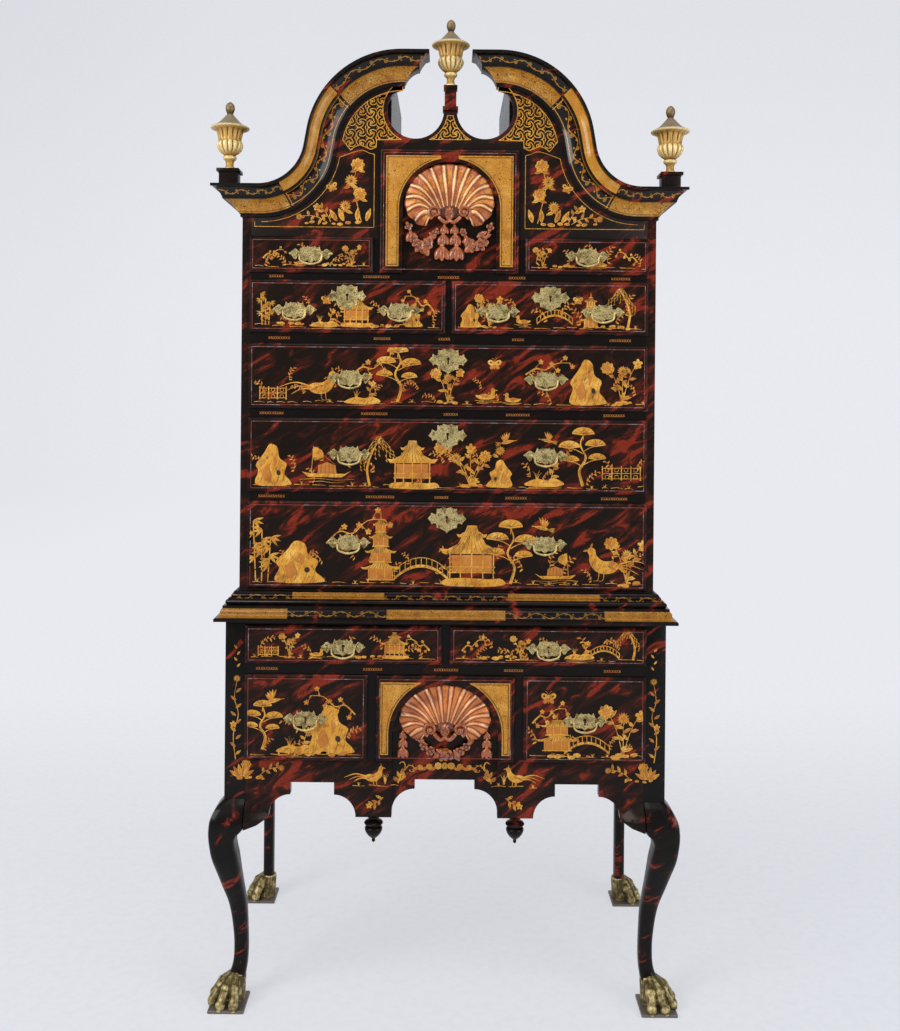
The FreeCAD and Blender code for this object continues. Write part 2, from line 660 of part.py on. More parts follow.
def channel_floor():
    """Floor of the channel that runs back from the tympanum's opening."""
    reach = HOOD_WALL_X + HOOD_WALL_T
    return block(-reach, reach, UPPER_FRONT + TYMPANUM_T, BACK - BACK_T,
                 CHANNEL_Z - CHANNEL_T, CHANNEL_Z)


def upper_back():
    """Back of the upper case, shaped to the hood and open behind the channel."""
    half = panel(under_neck(CROWN_H - ROOF_T, UPPER_IN, LOWER_TOP), BACK - BACK_T, BACK)
    board = joined([half, mirrored(half)])
    return board.cut(block(-HOOD_WALL_X, HOOD_WALL_X, BACK - BACK_T - 1, BACK + 1, CHANNEL_Z,
                           SCROLL_Z + CROWN_H))


def upper_side():
    return block(UPPER_IN, UPPER_HALF, UPPER_FRONT, BACK, LOWER_TOP, CROWN_TOP)


def upper_blades():
    """Front rails and dividers of the upper case."""
    y0 = UPPER_FRONT
    y1 = UPPER_FRONT + BLADE_D
    parts = [block(-UPPER_IN, UPPER_IN, y0, y1, LOWER_TOP, ROW_Z[0])]
    for row in range(1, 5):
        parts.append(block(-UPPER_IN, UPPER_IN, y0, y1, ROW_Z[row] - RAIL_H[row - 1],
                           ROW_Z[row]))
    half = PAIR_DIVIDER_W / 2
    parts.append(block(-half, half, y0, y1, ROW_Z[3], ROW_Z[3] + ROW_H[3]))
    parts += both(block(UP_DIVIDER_IN, UP_DIVIDER_IN + UP_DIVIDER_W, y0, y1, ROW_Z[4],
                        TYMPANUM_Z))
    return parts


def upper_runners():
    y0 = UPPER_FRONT + BLADE_D
    parts = []
    for row in range(5):
        parts += runner_pair(ROW_Z[row], UPPER_IN, UPPER_IN, y0, 0)
    half = PAIR_DIVIDER_W / 2
    parts.append(middle_runner(-half, half, ROW_Z[3], y0, RUNNER_UNDER))
    out = UP_DIVIDER_IN + UP_DIVIDER_W
    parts += both(middle_runner(UP_DIVIDER_IN, out, ROW_Z[4], y0, RUNNER_UNDER))
    return parts


def upper_bottom():
    return block(-UPPER_IN, UPPER_IN, UPPER_FRONT + BLADE_D, BACK - BACK_T, LOWER_TOP,
                 LOWER_TOP + BOTTOM_T)


# --- finials ------------------------------------------------------------------------------
def plinth(x, y, z, height, die, cap, foot):
    """Square plinth: a block with a thin cap and, for the middle one, a foot ring."""
    cap_z = z + height - PLINTH_CAP_H
    layers = [(die, z, cap_z), (cap, cap_z, z + height)]
    if foot > die:
        layers.append((foot, z, z + PLINTH_FOOT_H))
    parts = []
    for width, low, high in layers:
        half = width / 2
        parts.append(block(x - half, x + half, y - half, y + half, low, high))
    return joined(parts)


def gadrooned(x, y, rings):
    """Lobed bowl between rings of (height, radius, depth of the hollows)."""
    wires = []
    for height, radius, hollow in rings:
        corners = []
        for k in range(2 * GADROONS):
            a = math.pi * k / GADROONS
            r = radius - hollow * (k % 2)
            corners.append(Vector(x + r * math.cos(a), y + r * math.sin(a), height))
        wires.append(Part.makePolygon(corners + corners[:1]))
    return Part.makeLoft(wires, True, True)


def finial(x, y, z):
    """Urn finial: foot, neck, lobed bowl, fluted shoulder, brim, hollow lid and bud."""
    brim = BRIM_Z
    bud = FINIAL_H - BUD_H
    foot = turned([(0, 0), (15, 0), (15, 3), (10.5, 7), (9, 14), (10, 22), (16, 26), (16, 32),
                   (13, 36), (0, 36)], x, y, z)
    bowl = gadrooned(x, y, [(z + 35, 15, 1), (z + 45, 27, 4), (z + 57, 32.5, 5),
                            (z + 66, 31, 4), (z + 71, 28, 2)])
    shoulder = gadrooned(x, y, [(z + 71, 28, 2), (z + 86, 30, 4), (z + brim - 2.5, 35.5, 3)])
    lid = turned([(0, brim - 3.5), (33, brim - 3.5), (BRIM_R, brim), (BRIM_R, brim + 3),
                  (32, brim + 6.5), (20, brim + 12.5), (11, brim + 21.5), (6, bud), (6, bud + 2),
                  (9.5, bud + 9), (10, bud + 14), (8, bud + 21), (1.5, FINIAL_H),
                  (0, FINIAL_H)], x, y, z)
    return joined([foot, bowl, shoulder, lid])


def plinth_spots():
    """Foot point and height of the left, middle and right plinths."""
    side_x = UPPER_HALF + PLINTH_OUT
    side_y = UPPER_FRONT - PLINTH_OUT
    return [(-side_x, side_y, CROWN_TOP, SIDE_PLINTH_H),
            (0, UPPER_FRONT + TYMPANUM_T / 2, LOBE_Z, CENTRE_PLINTH_H),
            (side_x, side_y, CROWN_TOP, SIDE_PLINTH_H)]


# --- carved shells ------------------------------------------------------------------------
def carved_shell(radius, hub_z, floor, swags, pendants):
    """Fan shell with its scrolled hub, festoon and pendants, carved in one piece."""
    lobe = radius * 0.15
    flat = Vector(0, 1, 0)
    parts = []
    for i in range(SHELL_RIBS):
        a = math.radians(-14 + 208 * i / (SHELL_RIBS - 1))
        way = Vector(math.cos(a), 0, math.sin(a))
        steps = ((0.1, 5, 0.2), (0.5, 10, 0.55), (0.85, 13, 1.0), (0.98, 9, 0.55))
        points = [Vector(0, floor - depth, hub_z) + way * (radius * part)
                  for part, depth, _ in steps]
        parts.append(tube(points, [lobe * step[2] for step in steps],
                          way.cross(flat)))
    for side in (-1, 1):
        parts.append(Part.makeCylinder(15.0, SHELL_D - 2, Vector(side * 19, floor, hub_z),
                                       Vector(0, -1, 0)))
    for x0, x1, z_top, sag in swags:
        points = []
        for k in range(SWAG_STEPS + 1):
            a = math.pi * k / SWAG_STEPS
            points.append(Vector((x0 + x1) / 2 - (x1 - x0) / 2 * math.cos(a), floor - 6,
                                 z_top - sag * math.sin(a)))
        radii = [6.0 + 3.0 * (k % 2) for k in range(SWAG_STEPS + 1)]
        parts.append(tube(points, radii, flat))
    for x, z_top, z_low in pendants:
        drop = (z_top - z_low) / 5
        points = [Vector(x, floor - 5, z_top - drop * k) for k in range(6)]
        parts.append(tube(points, (4, 8, 5, 9, 6, 10), flat))
    box = block(-2 * radius, 2 * radius, floor - 2 * SHELL_D, floor, hub_z - PENDANT_ROOM,
                hub_z + 2 * radius)
    return joined(parts).common(box)


def upper_shell():
    floor = UPPER_FRONT - SEAT - LIP_T + RECESS_DEPTH
    radius = UP_FAN_R
    hub_z = UP_ARCH_Z - UP_HUB_DOWN
    swags = [(-radius + 8, -24, hub_z - 26, 45), (24, radius - 8, hub_z - 26, 45)]
    drops = [(-14, hub_z - 10, hub_z - 132), (14, hub_z - 10, hub_z - 132)]
    return carved_shell(radius, hub_z, floor, swags, drops)


def lower_shell():
    floor = FRONT - SEAT - LIP_T + RECESS_DEPTH
    radius = LOW_FAN_R
    hub_z = LOW_ARCH_Z - LOW_HUB_DOWN
    swag = [(-66, 66, hub_z - 3, 66)]
    drops = [(-radius + 7, hub_z - 10, hub_z - 72), (radius - 7, hub_z - 10, hub_z - 72)]
    return carved_shell(radius, hub_z, floor, swag, drops)


# --- brasses ------------------------------------------------------------------------------
def plate(x, y, z):
    """Back plate of a pull, with its wings and horned top."""
    half = [(0, 0.89), (0.1, 0.87), (0.16, 1.0), (0.22, 0.83), (0.315, 0.8), (0.38, 1.05),
            (0.47, 0.39), (0.56, 0.36), (0.68, 0.67), (0.88, 0.31), (1.0, 0.05),
            (0.88, -0.13), (0.71, -0.67), (0.6, -0.27), (0.49, -0.39), (0.38, -0.8),
            (0.22, -0.84), (0.08, -0.93), (0, -1.07)]
    return even_plate(half, x, y, z, PLATE_HALF, PLATE_TOP)


def even_plate(half, x, y, z, width, height):
    """Thin brass plate from the right half of its outline, given in shares of its size."""
    left = [(-a, b) for a, b in reversed(half[1:-1])]
    points = [(x + a * width, z + b * height) for a, b in half + left]
    return panel(points, y - PLATE_T, y)


def escutcheon(x, y, z):
    """Key plate with its keyhole."""
    half = [(0, 0.89), (0.22, 1.0), (0.37, 0.84), (0.53, 0.87), (0.565, 0.37), (0.8, 0.55),
            (1.0, 0), (0.78, -0.5), (0.565, -0.4), (0.53, -0.77), (0.34, -0.84), (0.16, -0.99),
            (0, -1.25)]
    blank = even_plate(half, x, y, z, ESCUTCHEON_HALF, ESCUTCHEON_TOP)
    slot = block(x - KEY_R / 2, x + KEY_R / 2, y - PLATE_T - 1, y + 1, z - 3 * KEY_R, z + KEY_R)
    eye = Part.makeCylinder(KEY_R, PLATE_T + 2, Vector(x, y - PLATE_T - 1, z + KEY_R),
                            Vector(0, 1, 0))
    return blank.cut(slot.fuse(eye))


def pull_post(x, y, z):
    """Post of a pull, bored across for the pin of its bail."""
    post = Part.makeCylinder(POST_R, POST_LEN, Vector(x, y - PLATE_T, z), Vector(0, -1, 0))
    bore = Part.makeCylinder(BAIL_R + SEAT, 4 * POST_R,
                             Vector(x - 2 * POST_R, bail_axis_y(y), z), Vector(1, 0, 0))
    return post.cut(bore)


def bail_axis_y(face):
    """Depth of a bail's hinge line in front of the drawer face."""
    return face - PLATE_T - BAIL_OUT


def bail(x, face, z):
    """Swinging bail: a pin in each post, short arms and a bow with a bead in its middle."""
    y = bail_axis_y(face)
    half = [(POST_X + 2.4, 0, 1), (BAIL_X + BAIL_BEND, 0, 1), (BAIL_X, -BAIL_BEND, 1),
            (BAIL_X, -8, 1), (BAIL_X * 0.93, -BAIL_DROP * 0.66, 1),
            (BAIL_X * 0.7, -BAIL_DROP * 0.92, 1), (BAIL_X * 0.35, -BAIL_DROP, 1),
            (3.6, -BAIL_DROP, 1), (2.0, -BAIL_DROP, 1.5)]
    run = half + [(-a, b, c) for a, b, c in reversed(half)]
    points = [Vector(x + a, y, z + b) for a, b, _ in run]
    return tube(points, [BAIL_R * c for _, _, c in run], Vector(0, 1, 0))


# --- drawers ------------------------------------------------------------------------------
def drawer_front(x0, x1, z0, z1, y, thickness):
    """Lipped front: a slab with rounded edges before the case, a block inside the opening."""
    face = y - SEAT
    slab = block(x0 - LIP, x1 + LIP, face - LIP_T, face, z0 - LIP, z1 + LIP)
    edges = [e for e in slab.Edges if abs(e.CenterOfMass.y - (face - LIP_T)) < 0.01]
    slab = slab.makeFillet(LIP_ROUND, edges)
    inner = block(x0 + CLEAR, x1 - CLEAR, face, y + thickness, z0 + SEAT, z1 - TOP_CLEAR)
    return joined([slab, inner])


def drawer_box(x0, x1, z0, z1, y, thickness):
    """Sides, back and bottom behind a drawer front."""
    a = x0 + CLEAR
    b = x1 - CLEAR
    low = z0 + SEAT
    high = z1 - TOP_CLEAR
    start = y + thickness
    end = y + DRAWER_DEPTH
    base = low + DRAWER_BOTTOM_UP
    return [block(a, a + LINING_T, start, end, low, high),
            block(b - LINING_T, b, start, end, low, high),
            block(a + LINING_T, b - LINING_T, end - LINING_T, end, low, high),
            block(a + LINING_T, b - LINING_T, start, end - LINING_T, base,
                  base + DRAWER_BOTTOM_T)]


def plain_drawer(name, x0, x1, z0, z1, y, pulls, pull_z, key_z):
    """Drawer with its pulls at x = pulls and, where key_z is given, a key plate."""
    face = y - SEAT - LIP_T
    mid = (x0 + x1) / 2
    parts = [drawer_front(x0, x1, z0, z1, y, FRONT_T)] + drawer_box(x0, x1, z0, z1, y, FRONT_T)
    for i, x in enumerate(pulls):
        parts.append(plate(x, face, pull_z))
        for side in (-1, 1):
            parts.append(pull_post(x + side * POST_X, face, pull_z))
        save("bail_" + name + ("_" + str(i + 1) if len(pulls) > 1 else ""),
             bail(x, face, pull_z))
    if key_z:
        parts.append(escutcheon(mid, face, key_z))
    lock_z = key_z or pull_z
    parts.append(block(mid - LOCK_W / 2, mid + LOCK_W / 2, y + FRONT_T,
                       y + FRONT_T + LOCK_T, lock_z - LOCK_H / 2, lock_z + LOCK_H / 2))
    save(name, parts)


def shell_drawer(name, half, z0, z1, y, recess_r, arch_z):
    """Carved drawer: its thick front has an arched recess that is open below."""
    spring_z = arch_z - recess_r
    face = y - SEAT - LIP_T
    front = drawer_front(-half, half, z0, z1, y, SHELL_FRONT_T)
    recess = panel([(-recess_r, z0 - LIP - 1), (-recess_r, spring_z),
                    (recess_r, spring_z, 0, arch_z),
                    (recess_r, z0 - LIP - 1)], face - 1, face + RECESS_DEPTH)
    save(name, [front.cut(recess)] + drawer_box(-half, half, z0, z1, y, SHELL_FRONT_T))


def drawers():
    """All thirteen drawers, from the top row of the upper case down."""
    y = UPPER_FRONT
    top = ROW_Z[4]
    edge = UP_DIVIDER_IN + UP_DIVIDER_W
    middle = (edge + UPPER_IN) / 2
    for side, name in ((-1, "small_drawer_left"), (1, "small_drawer_right")):
        ends = sorted((side * edge, side * UPPER_IN))
        plain_drawer(name, *ends, top, top + ROW_H[4], y, [side * middle],
                     top + ROW_H[4] / 2, None)
    shell_drawer("upper_shell_drawer", UP_DIVIDER_IN, top, SHELL_OPENING_TOP, y, UP_RECESS_R,
                 UP_ARCH_Z)
    edge = PAIR_DIVIDER_W / 2
    middle = (edge + UPPER_IN) / 2
    for side, name in ((-1, "half_drawer_left"), (1, "half_drawer_right")):
        ends = sorted((side * edge, side * UPPER_IN))
        pulls = [side * middle - PAIR_PULL_X, side * middle + PAIR_PULL_X]
        mid_z = ROW_Z[3] + ROW_H[3] / 2
        plain_drawer(name, *ends, ROW_Z[3], ROW_Z[3] + ROW_H[3], y, pulls,
                     mid_z + PAIR_PULL_UP, mid_z + PAIR_KEY_UP)
    for row, name in ((2, "long_drawer_top"), (1, "long_drawer_middle"),
                      (0, "long_drawer_bottom")):
        mid_z = ROW_Z[row] + ROW_H[row] / 2
        plain_drawer(name, -UPPER_IN, UPPER_IN, ROW_Z[row], ROW_Z[row] + ROW_H[row], y,
                     [-LONG_PULL_X, LONG_PULL_X], mid_z + LONG_PULL_UP[row],
                     mid_z + LONG_KEY_UP[row])
    y = FRONT
    edge = TOP_DIVIDER_W / 2
    middle = (edge + POST_IN) / 2
    for side, name in ((-1, "stand_top_drawer_left"), (1, "stand_top_drawer_right")):
        ends = sorted((side * edge, side * POST_IN))
        plain_drawer(name, *ends, TOP_ROW_Z, TOP_ROW_TOP, y, [side * middle],
                     TOP_ROW_Z + TOP_ROW_H / 2 + STAND_TOP_PULL_UP, None)
    edge = LOW_DIVIDER_IN + LOW_DIVIDER_W
    middle = (edge + POST_IN) / 2
    for side, name in ((-1, "stand_side_drawer_left"), (1, "stand_side_drawer_right")):
        ends = sorted((side * edge, side * POST_IN))
        plain_drawer(name, *ends, APRON_TOP, LOW_ROW_TOP, y, [side * middle],
                     APRON_TOP + LOW_ROW_H / 2 + STAND_SIDE_PULL_UP, None)
    shell_drawer("stand_shell_drawer", LOW_DIVIDER_IN, APRON_TOP, LOW_ROW_TOP, y,
                 LOW_RECESS_R, LOW_ARCH_Z)


def main():
    os.makedirs("parts", exist_ok=True)
    drawers()
    save("upper_shell_carving", upper_shell())
    save("stand_shell_carving", lower_shell())
    front = front_leg()
    rear = rear_leg()
    for name, leg in (("front_leg", front), ("rear_leg", rear)):
        save(name + "_right", leg)
        save(name + "_left", mirrored(leg))
    save("knee_brackets", knee_brackets())
    save("front_apron", front_apron())
    save("drop_finials", both(drop_finial()))
    save("stand_side_right", side_board())
    save("stand_side_left", mirrored(side_board()))
    save("stand_back", lower_back())
    save("stand_blades", lower_blades())
    save("stand_runners", lower_runners())
    save("waist_moulding", three_sided(waist_profile(), LOWER_HALF, FRONT,
                                       LOWER_TOP - WAIST_H))
    save("upper_base_moulding", three_sided(base_profile(), UPPER_HALF, UPPER_FRONT, LOWER_TOP))
    save("upper_side_right", upper_side())
    save("upper_side_left", mirrored(upper_side()))
    save("upper_back", upper_back())
    save("upper_bottom", upper_bottom())
    save("upper_blades", upper_blades())
    save("upper_runners", upper_runners())
    save("tympanum", tympanum())
    crown = crown_front()
    save("crown_left", crown)
    save("crown_right", mirrored(crown))
    save("crown_returns", [shape for piece in crown_returns() for shape in both(piece)])
    save("hood", [shape for piece in hood() for shape in both(piece)] + [channel_floor()])
    spots = plinth_spots()
    side = (SIDE_DIE, SIDE_CAP, 0.0)
    sizes = (side, (CENTRE_DIE, CENTRE_CAP, CENTRE_FOOT), side)
    save("finial_plinths", [plinth(*spot, *size) for spot, size in zip(spots, sizes)])
    for name, spot in zip(("left", "centre", "right"), spots):
        save("finial_" + name, finial(spot[0], spot[1], spot[2] + spot[3]))


main()
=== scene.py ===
"""Japanned bonnet-top highboy: finishes, brasses, carving, raised gilding, camera and light.

Lengths are in metres. The front faces -Y, +Z is up and the floor is at z = 0.
"""
import json
import math
import random

import bmesh
import bpy
from bpy.props import FloatProperty, FloatVectorProperty, IntProperty, PointerProperty
from mathutils import Matrix, Vector

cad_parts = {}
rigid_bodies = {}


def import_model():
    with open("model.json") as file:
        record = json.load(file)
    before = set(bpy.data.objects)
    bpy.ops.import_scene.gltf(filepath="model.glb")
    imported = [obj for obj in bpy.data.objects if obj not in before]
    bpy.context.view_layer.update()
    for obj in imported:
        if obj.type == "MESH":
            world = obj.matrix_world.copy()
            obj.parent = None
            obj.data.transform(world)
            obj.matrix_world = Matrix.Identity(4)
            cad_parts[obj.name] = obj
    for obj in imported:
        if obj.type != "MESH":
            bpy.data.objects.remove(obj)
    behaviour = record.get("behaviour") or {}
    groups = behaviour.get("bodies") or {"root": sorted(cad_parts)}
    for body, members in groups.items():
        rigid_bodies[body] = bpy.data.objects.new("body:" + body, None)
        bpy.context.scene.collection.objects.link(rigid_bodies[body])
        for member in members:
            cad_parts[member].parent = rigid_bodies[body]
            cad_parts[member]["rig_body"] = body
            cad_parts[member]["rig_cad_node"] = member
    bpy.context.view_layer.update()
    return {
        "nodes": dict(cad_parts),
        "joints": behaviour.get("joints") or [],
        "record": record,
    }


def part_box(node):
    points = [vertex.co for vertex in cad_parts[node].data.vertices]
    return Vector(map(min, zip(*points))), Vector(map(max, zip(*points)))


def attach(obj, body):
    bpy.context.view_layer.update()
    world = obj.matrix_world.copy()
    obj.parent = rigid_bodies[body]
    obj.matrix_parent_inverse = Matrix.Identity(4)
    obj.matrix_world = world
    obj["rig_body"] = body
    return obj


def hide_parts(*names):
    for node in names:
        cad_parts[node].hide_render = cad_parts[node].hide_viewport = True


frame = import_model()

bl_info = {
    "name": "Japanned Highboy",
    "version": (1, 0, 0),
    "blender": (4, 5, 0),
    "location": "3D View > Sidebar > Highboy",
    "description": "Dresses the highboy in its japanning, gilding, carving and brass",
    "category": "Add Mesh",
}

MM = 0.001
CASE = "case"


def corner(node, end, axis):
    """One coordinate of a CAD node's box: end 0 is the low corner, 1 the high one."""
    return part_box(node)[end][axis]


def linear(text):
    """Linear colour of a written hex colour."""
    parts = [int(text[i:i + 2], 16) / 255 for i in (1, 3, 5)]
    return tuple(c / 12.92 if c < 0.04045 else ((c + 0.055) / 1.055) ** 2.4 for c in parts)


# --- settings -----------------------------------------------------------------------------
def colour(name, text, about):
    """A colour setting, from a written hex colour."""
    return FloatVectorProperty(name=name, description=about, subtype="COLOR", size=3,
                               min=0.0, max=1.0, default=linear(text))


def length(name, value, about):
    """A length setting in metres."""
    return FloatProperty(name=name, description=about, default=value, min=0.0,
                         unit="LENGTH", subtype="DISTANCE")


class FinishSettings(bpy.types.PropertyGroup):
    ground: colour("Ground", "#150b05", "Black japan of the ground")
    streak: colour("Streaks", "#98301a", "Vermilion streaks of the ground")
    shadow: colour("Shadow streaks", "#3c160b", "Brown between black and vermilion")
    gold: colour("Gold", "#d8982e", "Raised and flat gilding")
    pale_gold: colour("Pale gold", "#f0bd5c", "Gilding that catches the light")
    deep_gold: colour("Deep gold", "#9c5a18", "Gilding that is rubbed or shaded")
    brass: colour("Brass", "#d8c285", "Plates and bails")
    patina: colour("Patina", "#6d5b30", "Hollows of the brass")
    streak_size: length("Streak length", 0.105, "Length of the ground's streaks")


class CarvingSettings(bpy.types.PropertyGroup):
    ribs: IntProperty(name="Shell ribs", description="Ribs of each fan shell", default=15,
                      min=7, max=25)
    lobes: IntProperty(name="Urn lobes", description="Lobes round each urn", default=14,
                       min=8, max=20)
    petals: IntProperty(name="Petals", description="Petals of a carved flower", default=5,
                        min=4, max=8)


class ViewSettings(bpy.types.PropertyGroup):
    distance: length("Distance", 2.5, "Camera to the front of the stand")
    eye: length("Eye height", 1.5, "Camera above the floor")
    side: FloatProperty(name="Side step", description="Camera to the right of the middle",
                        default=0.0, unit="LENGTH")
    lens: FloatProperty(name="Lens", description="Focal length in millimetres",
                        default=35.67, min=10.0)
    floor: colour("Floor", "#e9ebf1", "Pale floor and backdrop")


class HighboySettings(bpy.types.PropertyGroup):
    finish: PointerProperty(type=FinishSettings)
    carving: PointerProperty(type=CarvingSettings)
    view: PointerProperty(type=ViewSettings)


def settings():
    """The add-on's settings in this scene."""
    return bpy.context.scene.highboy


# --- finishes -----------------------------------------------------------------------------
BLACK = linear("#040302")
SEPIA = linear("#2a1408")
# Width of one rosette of the lattice.
ROSETTE = 0.026


def math_node(operation, swapped=False):
    """A method that adds a Math node; swapped puts the other value first."""
    def method(self, other=0.0):
        first, second = (other, self) if swapped else (self, other)
        return self.finish.node("ShaderNodeMath", {"operation": operation},
                                {0: first, 1: second})
    return method


class Strand:
    """A value in a material's node tree; the usual operators add Math nodes."""

    def __init__(self, finish, socket):
        self.finish = finish
        self.socket = socket

    __add__ = math_node("ADD")
    __radd__ = math_node("ADD", True)
    __sub__ = math_node("SUBTRACT")
    __rsub__ = math_node("SUBTRACT", True)
    __mul__ = math_node("MULTIPLY")
    __truediv__ = math_node("DIVIDE")
    __mod__ = math_node("FLOORED_MODULO")
    __abs__ = math_node("ABSOLUTE")
    high = math_node("MAXIMUM")
    sine = math_node("SINE")
    root = math_node("SQRT")
    floor = math_node("FLOOR")
    # x.bearing(y) is the angle of the point (x, y) about the origin.
    bearing = math_node("ARCTAN2", True)

    def __neg__(self):
        return self * -1.0


class Finish:
    """A material with a Principled shader and short ways to add the nodes before it."""

    def __init__(self, name, **constants):
        self.material = bpy.data.materials.new(name)
        self.material.use_nodes = True
        self.tree = self.material.node_tree
        self.tree.nodes.clear()
        self.shader = self.tree.nodes.new("ShaderNodeBsdfPrincipled")
        self.surface = self.tree.nodes.new("ShaderNodeOutputMaterial").inputs["Surface"]
        self.tree.links.new(self.shader.outputs[0], self.surface)
        self.place = self.node("ShaderNodeTexCoord", out="Object")
        for key, value in constants.items():
            self.set(key.replace("_", " ").title(), value)

    def node(self, kind, options=None, inputs=None, out=0):
        """Adds a node: its options first, then its sockets' values or links."""
        node = self.tree.nodes.new(kind)
        for key, value in (options or {}).items():
            setattr(node, key, value)
        for key, value in (inputs or {}).items():
            if isinstance(value, Strand):
                self.tree.links.new(value.socket, node.inputs[key])
            else:
                node.inputs[key].default_value = value
        return Strand(self, node.outputs[out])

    def set(self, socket, value):
        """Feeds or sets one socket of the Principled shader."""
        socket = socket.replace("Ior", "IOR")
        if isinstance(value, Strand):
            self.tree.links.new(value.socket, self.shader.inputs[socket])
        elif socket == "Base Color":
            self.shader.inputs[socket].default_value = (*value[:3], 1.0)
        else:
            self.shader.inputs[socket].default_value = value

    def mix(self, a, b, share):
        """Colour a turned towards colour b by a share."""
        pair = [c if isinstance(c, Strand) else (*c[:3], 1.0) for c in (a, b)]
        return self.node("ShaderNodeMix", {"data_type": "RGBA", "clamp_factor": True},
                         {0: share, 6: pair[0], 7: pair[1]}, out=2)

    def between(self, value, low, high):
        """0 below low, 1 above high, smooth between."""
        return self.node("ShaderNodeMapRange", {"interpolation_type": "SMOOTHSTEP"},
                         {0: value, 1: low, 2: high, 3: 0.0, 4: 1.0})

    def within(self, distance, core, rim):
        """1 closer than core on either side, 0 beyond rim."""
        return 1.0 - self.between(abs(distance), core, rim)

    def band(self, value, a, b, c, d):
        """0 below a, 1 from b to c and 0 above d."""
        return self.between(value, a, b) * (1.0 - self.between(value, c, d))

    def turned(self, degrees, size, place=None):
        """Coordinates turned by degrees about X, Y and Z and then divided by a size."""
        return self.node("ShaderNodeMapping", {"vector_type": "TEXTURE"},
                         {"Vector": place or self.place, "Scale": size,
                          "Rotation": [math.radians(a) for a in degrees]})

    def noise(self, place, scale, detail=3.0, roughness=0.55, distortion=0.0):
        """Cloudy noise, about 0.5 in the middle."""
        return self.node("ShaderNodeTexNoise", None,
                         {"Vector": place, "Scale": scale, "Detail": detail,
                          "Roughness": roughness, "Distortion": distortion})

    def cells(self, place, scale, feature="F1"):
        """Distance to the nearest of scattered points, or to the edge of its cell."""
        return self.node("ShaderNodeTexVoronoi", {"feature": feature},
                         {"Vector": place, "Scale": scale}, "Distance")

    def parts(self, place):
        """The three coordinates of a place."""
        split = self.node("ShaderNodeSeparateXYZ", None, {0: place})
        node = split.socket.node
        return [Strand(self, node.outputs[i]) for i in range(3)]

    def curls(self, scale, width, turns=9.0):
        """Thin curling lines, like painted scrolls: 1 on a line."""
        field = self.noise(self.place, scale, 1.5, 0.4, 0.6)
        return self.within((field * turns) % 1.0 - 0.5, width, width * 1.8)

    def edge(self):
        """How sharply the surface bends: over 0.5 on ridges, under it in hollows."""
        return self.node("ShaderNodeNewGeometry", out="Pointiness")

    def done(self, tone, rough=None, height=None, distance=0.0002, strength=0.5):
        """Sets the colour, the roughness and the bump, and gives the finished material."""
        self.set("Base Color", tone)
        if rough:
            self.set("Roughness", rough)
        if height:
            self.set("Normal", self.node("ShaderNodeBump", None,
                                         {"Strength": strength, "Distance": distance,
                                          "Height": height}))
        return self.material


def streaks(f, share):
    """Masks of the vermilion and brown streaks of the japanned ground."""
    size = settings().finish.streak_size
    x, y, z = f.parts(f.place)
    wrapped = f.node("ShaderNodeCombineXYZ", None, {"X": x + y, "Y": (x - y) * 0.2, "Z": z})
    place = f.turned((0, -33, 0), (size, size * 0.6, size * 0.30), wrapped)
    spread = f.noise(f.place, 4.5, 2.0, 0.5)
    field = f.noise(place, 1.0, 3.5, 0.62, 0.9) + (spread - 0.5) * 0.3
    red = f.between(field, 0.575 - share, 0.665 - share)
    brown = f.between(field, 0.47 - share, 0.60 - share)
    return red, brown


def japan_ground(f, share):
    """Colour of the black ground with its streaks, and the streaks' mask."""
    s = settings().finish
    red, brown = streaks(f, share)
    dust = f.noise(f.place, 220.0, 3.0, 0.7)
    base = f.mix(s.ground, s.shadow, brown * 0.75)
    deep = f.mix(s.shadow, s.streak, 0.35 + dust * 0.5)
    lit = f.mix(deep, s.streak, f.between(dust, 0.45, 0.75))
    return f.mix(base, lit, red * (0.55 + dust * 0.6)), red


def worn(f, base, red):
    """Japanned material of a ground colour, with the fine crackle of old varnish."""
    crackle = f.cells(f.turned((0, 0, 0), (0.006, 0.006, 0.009)), 1.0, "DISTANCE_TO_EDGE")
    line = 1.0 - f.between(crackle, 0.0, 0.045)
    haze = f.noise(f.place, 30.0, 4.0, 0.6)
    return f.done(base, 0.24 + haze * 0.16 + line * 0.2,
                  haze * 0.3 - line * 0.5 + red * 0.3, 0.00035, 0.35)


def japan(name, share, deep=0.0, gloss=0.07):
    """Japanned wood: share is how much of it the streaks take, deep darkens the ground."""
    f = Finish(name, coat_weight=gloss, coat_roughness=0.13, specular_ior_level=0.13)
    base, red = japan_ground(f, share)
    return worn(f, f.mix(base, BLACK, (1.0 - red) * deep), red)


def gold_tones(f):
    """Colour of gold leaf and gold paint, brighter and deeper in patches."""
    s = settings().finish
    patch = f.noise(f.place, 38.0, 4.0, 0.6)
    fine = f.noise(f.place, 480.0, 3.0, 0.6)
    tone = f.mix(s.gold, s.pale_gold, f.between(patch, 0.48, 0.72) * 0.8)
    tone = f.mix(tone, s.deep_gold, f.between(1.0 - patch, 0.52, 0.74) * 0.75)
    return f.mix(tone, s.deep_gold, f.between(fine, 0.56, 0.8) * 0.5), fine


